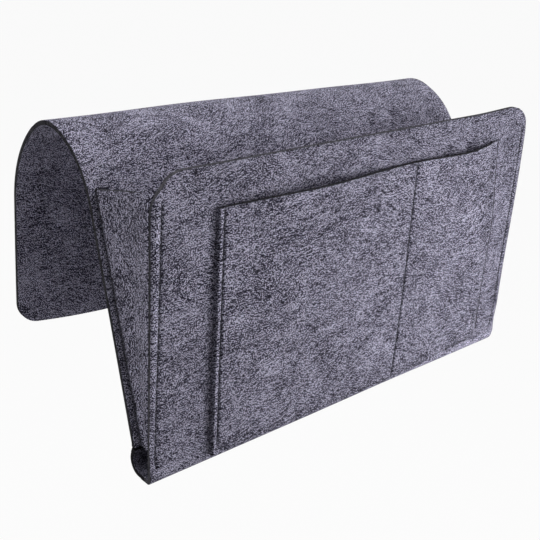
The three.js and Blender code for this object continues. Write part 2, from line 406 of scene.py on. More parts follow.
class Recipe:
    """The node tree of a material, or of the room."""

    def __init__(self, owner: bpy.types.Material | bpy.types.World) -> None:
        """Empties the owner's node tree.

        Args:
            owner: What the tree belongs to.
        """
        owner.use_nodes = True
        self.owner = owner
        self.tree = owner.node_tree
        self.tree.nodes.clear()

    @classmethod
    def named(cls, name: str) -> Recipe:
        """Starts a new material."""
        return cls(bpy.data.materials.new(name))

    def node(self, kind: str, settings: Settings | None, inputs: Inputs | None) -> bpy.types.Node:
        """Adds a node.

        Args:
            kind: The node's type.
            settings: Its own settings, and stops for a ramp.
            inputs: Values or wires for its sockets.

        Returns:
            The node.
        """
        node = self.tree.nodes.new(kind)
        for key, value in (settings or {}).items():
            if key == "stops":
                self._ramp(node, value)
            else:
                setattr(node, key, value)
        for key, value in (inputs or {}).items():
            if isinstance(value, Wire):
                self.tree.links.new(value.socket, node.inputs[key])
            else:
                node.inputs[key].default_value = value
        return node

    def add(
        self, kind: str, settings: Settings | None = None, inputs: Inputs | None = None, output: str | int = 0
    ) -> Wire:
        """Adds a node and gives the one of its outputs that is wanted."""
        return Wire(self, self.node(kind, settings, inputs).outputs[output])

    @staticmethod
    def _ramp(node: bpy.types.Node, stops: Sequence[tuple[float, Colour]]) -> None:
        """Sets a colour ramp's stops.

        Args:
            node: The ramp.
            stops: Place and colour of each stop.
        """
        elements = node.color_ramp.elements
        while len(elements) < len(stops):
            elements.new(1.0)
        for element, (place, colour) in zip(elements, stops):
            element.position = place
            element.color = (*colour, 1.0)

    def ramp(self, value: Wire, *stops: tuple[float, Colour]) -> Wire:
        """The colour of a value, from a ramp's stops."""
        return self.add("ShaderNodeValToRGB", {"stops": stops}, {"Fac": value})

    def place(self) -> Wire:
        """Object coordinates, in metres."""
        return self.add("ShaderNodeTexCoord", output="Object")

    def noise(
        self, vector: Wire, cell: float, detail: float = 0.0, rough: float = 0.5, output: str = "Fac"
    ) -> Wire:
        """A noise with cells of some millimetres, its octaves, and how much the fine ones count."""
        inputs = {"Vector": vector, "Scale": 1.0 / (cell * MM), "Detail": detail, "Roughness": rough}
        return self.add("ShaderNodeTexNoise", {"noise_dimensions": "3D"}, inputs, output)

    def turned(self, vector: Wire, degrees: float, scale: Colour) -> Wire:
        """Turns and stretches coordinates."""
        inputs = {"Vector": vector, "Rotation": (0.0, 0.0, math.radians(degrees)), "Scale": scale}
        return self.add("ShaderNodeMapping", {"vector_type": "TEXTURE"}, inputs)

    def strayed(self, vector: Wire, cell: float, reach: float) -> Wire:
        """Lets coordinates wander.

        Args:
            vector: The coordinates.
            cell: How broad the bends are, in millimetres.
            reach: How far they go, in millimetres.

        Returns:
            The wandering coordinates.
        """
        middle = (0.5, 0.5, 0.5)
        stray = self.noise(vector, cell, output="Color")
        centred = self.add("ShaderNodeVectorMath", {"operation": "SUBTRACT"}, {0: stray, 1: middle})
        moved = self.add("ShaderNodeVectorMath", {"operation": "SCALE"}, {0: centred, "Scale": reach * MM})
        return self.add("ShaderNodeVectorMath", {"operation": "ADD"}, {0: vector, 1: moved})

    def drawn_in(self, colour: Wire) -> Wire:
        """Paints shade into a colour in seams, creases, folds and hollows, and paints light where the share
        is below 0.

        Args:
            colour: The felt's colour.

        Returns:
            The colour with its painted shade and painted light.
        """
        # The drawn attribute holds the painted shade, and painted light where it is below 0.
        drawn = self.add("ShaderNodeAttribute", {"attribute_name": "drawn"}, output="Fac")
        settings = {"data_type": "RGBA", "blend_type": "MULTIPLY", "clamp_factor": False}
        return self.add("ShaderNodeMix", settings, {0: drawn, 6: colour, 7: PAINTED_SHADE_TINT}, 2)

    def surface(
        self, colour: Wire, rough: Wire, height: Wire, nap: tuple[float, float], gloss: dict[str, float]
    ) -> bpy.types.ID:
        """Ends the tree with a rough surface that has a fine relief.

        Args:
            colour: Its colour.
            rough: Its roughness.
            height: Its relief.
            nap: The relief's strength, and its height in millimetres.
            gloss: The shader's other sockets.

        Returns:
            The material.
        """
        strength, reach = nap
        relief = {"Strength": strength, "Distance": reach * MM, "Height": height}
        bump = self.add("ShaderNodeBump", None, relief)
        inputs = {"Base Color": colour, "Roughness": rough, "Normal": bump, **gloss}
        return self.finish(self.add("ShaderNodeBsdfPrincipled", None, inputs))

    def finish(self, shader: Wire, end: str = "ShaderNodeOutputMaterial") -> bpy.types.ID:
        """Ends the tree with a shader, and gives back its owner."""
        self.node(end, None, {"Surface": shader})
        return self.owner


# Finishes


@dataclass(frozen=True)
class FeltFinish:
    """Pressed melange felt: fine dark and light fibres that lie across the sheet, in clumps and clouds.

    Attributes:
        tones: The wool's colours, from the darkest fibres to the palest.
        lie: The way that the fibres lie, in degrees from the sheet's width.
        cross: How far some fibres turn away from that.
        bends: Breadth and reach of the fibres' bends, the broad ones and then the fine ones.
        fibre: Length and width of a fibre's mark.
        clump: Length and width of a clump of like fibres.
        speck: Size of the loose specks.
        cloud: Size of the broad clouds.
        shares: How much fibres, crossing fibres, specks, clumps and clouds count for the tone.
        balance: Brings the tone to the middle of the colours.
        nap: Strength and height of the surface's relief.
    """

    name: str = "melange_felt"
    tones: tuple[tuple[float, Colour], ...] = (
        (0.26, (0.012, 0.0107, 0.019)),
        (0.39, (0.048, 0.0445, 0.070)),
        (0.50, (0.135, 0.127, 0.186)),
        (0.61, (0.30, 0.288, 0.394)),
        (0.74, (0.58, 0.562, 0.71)),
    )
    lie: float = 9.0
    cross: float = 34.0
    bends: tuple[tuple[float, float], ...] = ((45.0, 22.0), (6.0, 1.6))
    fibre: tuple[float, float] = (2.4, 0.45)
    clump: tuple[float, float] = (16.0, 5.0)
    speck: float = 0.7
    cloud: float = 24.0
    shares: tuple[float, ...] = (1.0, 0.6, 2.0, 0.6, 0.4)
    balance: float = -1.84
    nap: tuple[float, float] = (0.25, 0.9)

    def material(self) -> bpy.types.Material:
        """Writes the material on the sheet's own flat pattern.

        Returns:
            The material.
        """
        recipe = Recipe.named(self.name)
        pattern = recipe.add("ShaderNodeUVMap", {"uv_map": "pattern"})
        wandering = pattern
        for cell, reach in self.bends:
            wandering = recipe.strayed(wandering, cell, reach)
        fibres = self._marks(recipe, wandering, self.fibre)
        crossing = self._marks(recipe, wandering, self.fibre, turn=self.cross)
        clumps = self._marks(recipe, wandering, self.clump, detail=2.0, rough=0.55)
        specks = recipe.noise(pattern, self.speck)
        clouds = recipe.noise(pattern, self.cloud, 2.0)
        marks = (fibres, crossing, specks, clumps, clouds)
        tone = sum((share * mark for share, mark in zip(self.shares, marks)), self.balance)
        return recipe.surface(
            recipe.drawn_in(recipe.ramp(tone, *self.tones)),
            1.0 - 0.15 * fibres,
            fibres + 0.3 * clumps,
            self.nap,
            {"Specular IOR Level": 0.1, "Sheen Weight": 0.05, "Sheen Roughness": 0.6},
        )

    def _marks(
        self,
        recipe: Recipe,
        vector: Wire,
        size: tuple[float, float],
        turn: float = 0.0,
        detail: float = 0.0,
        rough: float = 0.5,
    ) -> Wire:
        """Marks that are drawn out along the lie of the fibres, or turned away from it.

        Args:
            recipe: The material's tree.
            vector: The coordinates.
            size: Length and width of a mark.
            turn: How far the marks turn away, in degrees.
            detail: The noise's octaves.
            rough: How much the fine octaves count.

        Returns:
            The marks.
        """
        length, width = size
        laid = recipe.turned(vector, self.lie + turn, (length * MM, width * MM, MM))
        return recipe.noise(laid, 1.0 / MM, detail, rough)


@dataclass(frozen=True)
class CutEdgeFinish:
    """The knife-cut edge of the felt, dense and almost black, partly its own colour and partly painted shade,
    with layered fibre ends.
    """

    name: str = "cut_felt_edge"
    dark: Colour = (0.014, 0.014, 0.017)
    pale: Colour = (0.080, 0.078, 0.088)
    grain: float = 0.8
    clump: float = 4.0
    nap: tuple[float, float] = (0.5, 0.6)

    def material(self) -> bpy.types.Material:
        """Writes the material on object coordinates.

        Returns:
            The material.
        """
        recipe = Recipe.named(self.name)
        place = recipe.place()
        grain = recipe.noise(place, self.grain, 3.0, 0.6)
        clumps = recipe.noise(place, self.clump, 2.0)
        tone = 0.65 * grain + 0.35 * clumps
        colour = recipe.drawn_in(recipe.ramp(tone, (0.40, self.dark), (0.68, self.pale)))
        return recipe.surface(colour, 1.0 - 0.1 * grain, tone, self.nap, {"Specular IOR Level": 0.1})


@dataclass(frozen=True)
class ThreadFinish:
    """Dark twisted sewing thread."""

    name: str = "navy_thread"
    dark: Colour = (0.006, 0.006, 0.010)
    pale: Colour = (0.030, 0.029, 0.042)
    ply: float = 0.45
    nap: tuple[float, float] = (0.4, 0.2)

    def material(self) -> bpy.types.Material:
        """Writes the material on object coordinates.

        Returns:
            The material.
        """
        recipe = Recipe.named(self.name)
        twist = recipe.add(
            "ShaderNodeTexWave",
            {"wave_type": "BANDS", "bands_direction": "DIAGONAL"},
            {"Vector": recipe.place(), "Scale": 0.3 / (self.ply * MM), "Distortion": 1.5, "Detail": 1.0},
            "Fac",
        )
        colour = recipe.ramp(twist, (0.2, self.dark), (0.9, self.pale))
        return recipe.surface(colour, 0.75 - 0.15 * twist, twist, self.nap, {"Specular IOR Level": 0.25})


@dataclass(frozen=True)
class PaleFinish:
    """The studio's white floor, which still takes a shadow.

    Attributes:
        colour: The floor's colour.
        light: The colour of its lighter clouds.
        cloud: Size of the clouds.
        glow: How white the camera sees it.
    """

    name: str = "pale_floor"
    colour: Colour = (0.86, 0.86, 0.86)
    light: Colour = (0.9, 0.9, 0.9)
    cloud: float = 1000.0 / 3.0
    glow: float = 0.94

    def material(self) -> bpy.types.Material:
        """Writes a floor that the camera sees as white.

        Returns:
            The material.
        """
        recipe = Recipe.named(self.name)
        clouds = recipe.noise(recipe.place(), self.cloud, 1.0)
        colour = recipe.ramp(clouds, (0.0, self.colour), (1.0, self.light))
        matt = recipe.add("ShaderNodeBsdfDiffuse", None, {"Color": colour, "Roughness": 1.0})
        white = recipe.add("ShaderNodeEmission", None, {"Color": (1.0, 1.0, 1.0, 1.0), "Strength": 1.0})
        seen = recipe.add("ShaderNodeLightPath", output="Is Camera Ray")
        shader = recipe.add("ShaderNodeMixShader", None, {0: self.glow * seen, 1: matt, 2: white})
        return recipe.finish(shader)


@dataclass
class Finishes:
    """The materials that all the pieces share."""

    felt: bpy.types.Material
    edges: dict[Edge, bpy.types.Material]
    thread: bpy.types.Material

    @classmethod
    def make(cls) -> Finishes:
        """Writes each material once.

        Returns:
            The finishes.
        """
        kinds = {
            Edge.DENSE: CutEdgeFinish(),
            # Painted shade: a darker copy of the cut edge for the pocket's mouth. Painted light: a paler copy
            # for the front's edges.
            Edge.DEEP: CutEdgeFinish("deep_felt_edge", (0.008, 0.008, 0.010), (0.045, 0.044, 0.050)),
            Edge.WOOLLY: CutEdgeFinish("woolly_felt_edge", (0.030, 0.029, 0.034), (0.16, 0.156, 0.18)),
        }
        edges = {edge: finish.material() for edge, finish in kinds.items()}
        return cls(FeltFinish().material(), edges, ThreadFinish().material())


# The workbench


@dataclass(frozen=True)
class Workshop:
    """Where the maker's frame sits in the part's frame, and the finishes at hand."""

    shift: Vector
    finishes: Finishes

    @classmethod
    def open(cls) -> Workshop:
        """Takes the front panel's low corner as the place of the maker's frame."""
        low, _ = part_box("front_panel")
        return cls(Vector((0.0, low.y, low.z)), Finishes.make())

    def world(self, place: Vector) -> Vector:
        """Turns millimetres in the maker's frame into the part's frame."""
        return place * MM + self.shift

    def on(self, path: FacePath, along: float) -> Vector:
        """A point of a face line, in the part's frame."""
        point = path.at(along)
        return self.world(Vector((0.0, point.y, point.z)))


def select_only(*pieces: bpy.types.Object) -> None:
    """Selects some pieces and nothing else, and makes the first one active.

    Args:
        pieces: The pieces, or none to clear the bench for a new one.
    """
    bpy.ops.object.select_all(action="DESELECT")
    for piece in pieces:
        piece.select_set(True)
    if pieces:
        bpy.context.view_layer.objects.active = pieces[0]


@dataclass
class Seam:
    """A row of stitches that draws the felt in.

    Attributes:
        label: The seam's words in the names of its stitches and of the thread that they stand for.
        places: Where each stitch sits, the way it runs, and which way is out.
        body: What they ride on.
        girth: How thick a stitch is.
        pitch: From stitch to stitch.
        fill: The share of the pitch that a stitch fills.
        slant: Each stitch's turn away from the seam, in degrees.
        tip: The share of the girth at a stitch's ends.
        dip: How deep its ends go into the felt.
        sides: The corners of its section.
        cuts: Where it is cut across to be bent, over a length of 1.
    """

    label: str
    places: list[tuple[Vector, Vector, Vector]]
    body: Body
    girth: float = 0.95
    pitch: float = 3.5
    fill: float = 0.97
    slant: float = 5.0
    tip: float = 0.62
    dip: float = 0.55
    sides: int = 10
    cuts: tuple[float, ...] = (-0.4, -0.25, 0.0, 0.25, 0.4)

    def build(self, shop: Workshop) -> bpy.types.Object:
        """Models one stitch, copies it along the seam and joins the copies.

        Args:
            shop: The workshop.

        Returns:
            The thread.
        """
        first = self._stitch()
        copies = []
        for place, along, out in self.places:
            copy = first.copy()
            copy.data = first.data.copy()
            bpy.context.scene.collection.objects.link(copy)
            copy.data.transform(self._turn(shop.world(place), along, out))
            copies.append(copy)
        bpy.data.objects.remove(first)
        select_only(*copies)
        bpy.ops.object.join()
        thread = bpy.context.view_layer.objects.active
        thread.name = f"{self.label}_stitches"
        thread.data.name = thread.name
        thread.data.materials.clear()
        thread.data.materials.append(shop.finishes.thread)
        bpy.ops.object.shade_smooth()
        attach(thread, self.body.value)
        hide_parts(f"{self.label}_thread")
        return thread

    def _stitch(self) -> bpy.types.Object:
        """Models a single stitch along X, whose ends dip into the felt.

        Returns:
            The stitch.
        """
        select_only()
        bpy.ops.mesh.primitive_cylinder_add(
            vertices=self.sides, radius=0.5, depth=1.0, rotation=(0.0, math.pi / 2, 0.0)
        )
        stitch = bpy.context.active_object
        bpy.ops.object.transform_apply(location=True, rotation=True, scale=True)
        bpy.ops.object.mode_set(mode="EDIT")
        for cut in self.cuts:
            bpy.ops.mesh.select_all(action="SELECT")
            bpy.ops.mesh.bisect(plane_co=(cut, 0.0, 0.0), plane_no=(1.0, 0.0, 0.0))
        bpy.ops.object.mode_set(mode="OBJECT")
        length, girth = self.pitch * self.fill * MM, self.girth * MM
        for vertex in stitch.data.vertices:
            bow = 1.0 - (2.0 * vertex.co.x) ** 2
            slim = self.tip + (1.0 - self.tip) * math.sqrt(max(0.0, bow))
            vertex.co.x *= length
            vertex.co.y *= girth * slim
            vertex.co.z = vertex.co.z * girth * slim - self.dip * MM * (1.0 - bow) ** 2
        return stitch

    def _turn(self, place: Vector, along: Vector, out: Vector) -> Matrix:
        """Sets a stitch on its seam, with a slight slant.

        Args:
            place: Where it sits, in the part's frame.
            along: The way the seam runs.
            out: The way that the felt faces.

        Returns:
            The stitch's matrix.
        """
        z_axis = out.normalized()
        x_axis = (along - z_axis * along.dot(z_axis)).normalized()
        y_axis = z_axis.cross(x_axis)
        turn = Matrix((x_axis, y_axis, z_axis)).transposed().to_4x4()
        return Matrix.Translation(place) @ turn @ Matrix.Rotation(math.radians(self.slant), 4, "Z")


@dataclass
class FeltPiece:
    """A piece of felt, shaped from a flat grid and given its thickness.

    Attributes:
        name: The piece's name.
        nodes: The solids that it stands for.
        columns: Stops across the sheet.
        rows: Stops along the sheet.
        hold: How it is held.
        rests_on: The solids that hold it.
        edge: How its cut edges look.
        thin: The share of the felt's thickness at a place, where that isn't all of it.
        butts: Rows where it runs on into the next sheet.
        sharp: The least angle of a cut edge, in degrees.
        rounding: How far a cut edge is rounded.
        smooth: The angle up to which faces are shaded as one, in degrees.
    """

    name: str
    nodes: tuple[str, ...]
    columns: list[float]
    rows: list[float]
    hold: Hold
    rests_on: tuple[str, ...]
    edge: Edge = Edge.DENSE
    thin: Measure | None = None
    butts: tuple[float, ...] = ()
    sharp: float = 55.0
    rounding: float = 0.45
    smooth: float = 50.0

    def place(self, across: float, along: float) -> Vector:
        """Where a point of the flat grid lies on the outer face, in the maker's frame."""
        raise NotImplementedError

    def pattern(self, across: float, along: float) -> tuple[float, float]:
        """The point's place on the flat cut, in millimetres."""
        return across, along

    def drawn(self, across: float, along: float) -> float:
        """How much shade is painted in at a point, up to 1, or how much light is painted in, below 0."""
        return 0.0

    def flat(self) -> tuple[float, float]:
        """The width and length of the flat cut, in millimetres."""
        return self.columns[-1] - self.columns[0], self.rows[-1] - self.rows[0]

    def area(self) -> float | None:
        """The flat area in square millimetres, where the cut isn't a rectangle."""
        return None

    def build(self, shop: Workshop) -> bpy.types.Object:
        """Makes the piece.

        Args:
            shop: The workshop.

        Returns:
            The finished sheet.
        """
        sheet = self._lay_grid()
        places = self._shape(sheet, shop)
        self._mark(sheet, places)
        self._thicken(sheet)
        sheet.data.materials.append(shop.finishes.felt)
        sheet.data.materials.append(shop.finishes.edges[self.edge])
        select_only(sheet)
        bpy.ops.object.modifier_apply(modifier="felt")
        self._soften(sheet, shop)
        width, length = self.flat()
        area = self.area()
        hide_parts(*self.nodes)
        width * MM
        length * MM
        None if area is None else area * MM * MM
        return sheet

    def _lay_grid(self) -> bpy.types.Object:
        """Adds the flat grid, one cell for each pair of stops.

        Returns:
            The grid, 2 wide and 2 long.
        """
        select_only()
        bpy.ops.mesh.primitive_grid_add(
            x_subdivisions=len(self.columns) - 1,
            y_subdivisions=len(self.rows) - 1,
            size=2.0,
        )
        sheet = bpy.context.active_object
        sheet.name = self.name
        sheet.data.name = self.name
        return sheet

    def _shape(self, sheet: bpy.types.Object, shop: Workshop) -> list[tuple[float, float]]:
        """Moves the grid's points to the sheet's outer face.

        Args:
            sheet: The flat grid.
            shop: The workshop.

        Returns:
            Each point's stops across and along the sheet.
        """
        wide, long = len(self.columns) - 1, len(self.rows) - 1
        places = []
        for vertex in sheet.data.vertices:
            across = self.columns[round((vertex.co.x + 1.0) / 2.0 * wide)]
            along = self.rows[round((vertex.co.y + 1.0) / 2.0 * long)]
            places.append((across, along))
            vertex.co = shop.world(self.place(across, along))
        return places

    def _mark(self, sheet: bpy.types.Object, places: list[tuple[float, float]]) -> None:
        """Writes the flat cut, the painted shade and light, and the thickness on the sheet.

        Args:
            sheet: The shaped grid.
            places: Each point's stops.
        """
        layer = sheet.data.uv_layers[0]
        layer.name = "pattern"
        for loop in sheet.data.loops:
            u, v = self.pattern(*places[loop.vertex_index])
            layer.data[loop.index].uv = (u * MM, v * MM)
        # Painted shade and painted light go into the drawn attribute.
        drawn = sheet.data.attributes.new("drawn", "FLOAT", "POINT")
        for index, place in enumerate(places):
            drawn.data[index].value = self.drawn(*place)
        if self.thin is not None:
            group = sheet.vertex_groups.new(name="thickness")
            for index, place in enumerate(places):
                group.add([index], self.thin(*place), "REPLACE")

    def _thicken(self, sheet: bpy.types.Object) -> None:
        """Gives the sheet the felt's thickness, behind its outer face, with cut edges round it.

        Args:
            sheet: The shaped grid.
        """
        solid = sheet.modifiers.new("felt", "SOLIDIFY")
        solid.thickness = FELT * MM
        solid.offset = -1.0
        solid.use_even_offset = True
        solid.use_rim = True
        solid.material_offset_rim = 1
        if self.thin is not None:
            solid.vertex_group = "thickness"

    def _soften(self, sheet: bpy.types.Object, shop: Workshop) -> None:
        """Rounds the sheet's cut edges a little, but not where it runs on into the next sheet.

        Args:
            sheet: The thick sheet.
            shop: The workshop.
        """
        ends = [shop.world(self.place(self.columns[0], along)) for along in self.butts]
        near = 1.5 * FELT * MM
        select_only(sheet)
        bpy.ops.object.mode_set(mode="EDIT")
        bpy.ops.mesh.select_mode(type="EDGE")
        bpy.ops.mesh.select_all(action="DESELECT")
        bpy.ops.mesh.edges_select_sharp(sharpness=math.radians(self.sharp))
        bpy.ops.object.mode_set(mode="OBJECT")
        points = sheet.data.vertices
        for edge in sheet.data.edges:
            a, b = (points[v].co for v in edge.vertices)
            for end in ends:
                if max((a - end).yz.length, (b - end).yz.length) < near:
                    edge.select = False
        bpy.ops.object.mode_set(mode="EDIT")
        bpy.ops.mesh.bevel(offset=self.rounding * MM, segments=2, affect="EDGES", clamp_overlap=True)
        bpy.ops.object.mode_set(mode="OBJECT")
        bpy.ops.object.shade_smooth_by_angle(angle=math.radians(self.smooth))


@dataclass
class Band(FeltPiece):
    """A stretch of the long sheet, over the whole width, along a face line.

    Attributes:
        path: The outer face's line.
        origin: Pattern length that lies before this stretch.
        corner: Corner radius at the high end.
        corner_reach: How far in from the side edges the columns follow a round corner.
        relief: How far the face stands out at a place.
        drift: How far the place has moved from where it was cut to hang.
        pinched: How much shade is painted in at a place, or light below 0.
    """

    path: FacePath | None = None
    origin: float = 0.0
    corner: float = 0.0
    corner_reach: float = 36.0
    relief: Measure = slack
    drift: Callable[[float, float], Vector] = lambda x, along: Vector()
    pinched: Measure = lambda x, along: 0.0

    def half_width(self, along: float) -> float:
        """Follows the round corners.

        Args:
            along: Place along the sheet.

        Returns:
            Half the sheet's width there.
        """
        inset = self.rows[-1] - along
        if inset >= self.corner:
            return HALF
        return HALF - self.corner + math.sqrt(max(0.0, self.corner**2 - (self.corner - inset) ** 2))

    def squeeze(self, across: float, along: float) -> float:
        """Draws the outer columns in where a corner is round.

        Args:
            across: A column's place on the full width.
            along: Place along the sheet.

        Returns:
            Its X.
        """
        inner = HALF - self.corner_reach
        if abs(across) <= inner:
            return across
        share = (abs(across) - inner) / self.corner_reach
        return math.copysign(inner + share * (self.half_width(along) - inner), across)

    def place(self, across: float, along: float) -> Vector:
        """Finds a point of the outer face, which is left of the line's heading.

        Args:
            across: A column's place.
            along: Place along the sheet.

        Returns:
            The point in the maker's frame.
        """
        x = self.squeeze(across, along)
        side = 1.0 if self.columns[-1] > self.columns[0] else -1.0
        point = self.path.at(along).beside(-side * self.relief(x, along))
        return Vector((x, point.y, point.z)) + self.drift(x, along)

    def drawn(self, across: float, along: float) -> float:
        """The band's painted shade and painted light."""
        return self.pinched(self.squeeze(across, along), along)

    def pattern(self, across: float, along: float) -> tuple[float, float]:
        """The place on the long flat sheet."""
        return self.squeeze(across, along), self.origin + along

    def flat(self) -> tuple[float, float]:
        """The band's width and developed length."""
        return WIDTH, self.rows[-1] - self.rows[0]


@dataclass(frozen=True)
class Profile:
    """The long sheet's line from the front edge to the flap's free end, seen from the left end.

    Attributes:
        crease: Outer radius of the front's bottom crease.
        lip: How far under the bottom the front's sheet reaches.
        base_pinch: How far the bottom fold leans forward at its rear end, in degrees.
        lean: How far the back panel leans back, in degrees.
        rise: Radius and turn of the arch's first bend, as for the ridge and the shoulder.
        hand_over: How far past the ridge the flap's sheet begins.
    """

    front_height: float = 186.0
    crease: float = 3.4
    lip: float = 6.5
    base_depth: float = 21.0
    base_radius: float = 8.0
    base_height: float = 15.0
    base_pinch: float = 20.0
    lean: float = 17.2
    back_length: float = 143.0
    rise: tuple[float, float] = (58.0, 53.3)
    ridge: tuple[float, float] = (29.0, 56.1)
    shoulder: tuple[float, float] = (72.0, 50.0)
    drop_length: float = 89.0
    hand_over: float = 4.0

    @property
    def front_run(self) -> float:
        """The straight part of the lip under the bottom."""
        return self.lip - self.crease

    @property
    def crease_end(self) -> float:
        """Developed length from the front sheet's start to where it stands upright."""
        return self.front_run + self.crease * math.pi / 2.0

    @property
    def front_foot(self) -> float:
        """Developed length from the front sheet's start to its bottom edge, as if the crease were square."""
        return self.crease_end - self.crease

    def front(self) -> FacePath:
        """From under the bottom, round the front crease and up the front panel."""
        path = FacePath(PathPoint(self.lip, 0.0, -90.0)).line(self.front_run).arc(self.crease, 90.0)
        return path.line(self.front_height - self.crease)

    def base(self) -> FacePath:
        """Follows the bottom from behind the front crease up to the pinch.

        Returns:
            The bottom fold's outer line.
        """
        path = FacePath(PathPoint(self.lip, 0.0, 90.0)).line(self.base_depth - self.base_radius - self.lip)
        path.arc(self.base_radius, -90.0 - self.base_pinch)
        top = path.at(path.length)
        return path.line((self.base_height - top.z) / math.cos(math.radians(self.base_pinch)))

    def back_foot(self) -> PathPoint:
        """Stands the back panel on the bottom fold's rear end.

        Returns:
            The lowest point of the back panel's inner face.
        """
        base = self.base()
        middle = base.at(base.length).beside(-FELT / 2.0)
        lift = GAP + FELT / 2.0 * math.sin(math.radians(self.lean))
        return PathPoint(middle.y, self.base_height + lift, self.lean).beside(-FELT / 2.0)

    def back(self) -> FacePath:
        """Follows the back panel, the arch and the free flap.

        Returns:
            Their inner line.
        """
        path = FacePath(self.back_foot()).line(self.back_length)
        path.arc(*self.rise).arc(*self.ridge).arc(*self.shoulder)
        return path.line(self.drop_length)

    @staticmethod
    def bend(radius: float, turn: float) -> float:
        """The developed length of a bend."""
        return radius * math.radians(turn)

    @property
    def ridge_start(self) -> float:
        """Developed length from the back's foot to the ridge's fold line."""
        return self.back_length + self.bend(*self.rise)

    @property
    def split(self) -> float:
        """Where the back's sheet hands over to the flap's sheet, in the stretch that stays as it is."""
        return self.ridge_start + self.bend(*self.ridge) + self.hand_over

    @property
    def shoulder_end(self) -> float:
        """Developed length from the back's foot to the shoulder's fold line."""
        return self.ridge_start + (self.bend(*self.ridge) + self.bend(*self.shoulder))

    def back_face(self, z: float, forward: float) -> float:
        """The back panel's inner face at a height, moved forward by some distance."""
        foot, turn = self.back_foot(), math.radians(self.lean)
        return foot.y + (z - foot.z) * math.tan(turn) - forward / math.cos(turn)


def edge_columns(pitch: float) -> list[float]:
    """Stops across a full-width sheet, close together at its side seams.

    Args:
        pitch: The spacing in the middle.

    Returns:
        The stops.
    """
    margin, groove, calm = EDGE_SEAM + 2.2, EDGE_SEAM - 2.6, EDGE_SEAM - 9.0
    margin_cell, groove_cell, calm_cell = 1.2, 0.5, 2.2
    left = spaced(-HALF, (-margin, margin_cell), (-groove, groove_cell), (-calm, calm_cell))
    return chain(left, steps(left[-1], -left[-1], pitch), [-x for x in reversed(left)])


def corner_rows(end: float, radius: float) -> list[float]:
    """Stops towards a round end, close together where the corner turns most."""
    turns = steps(0.0, 90.0, 6.0)
    return [end - radius * (1.0 - math.sin(math.radians(turn))) for turn in turns]


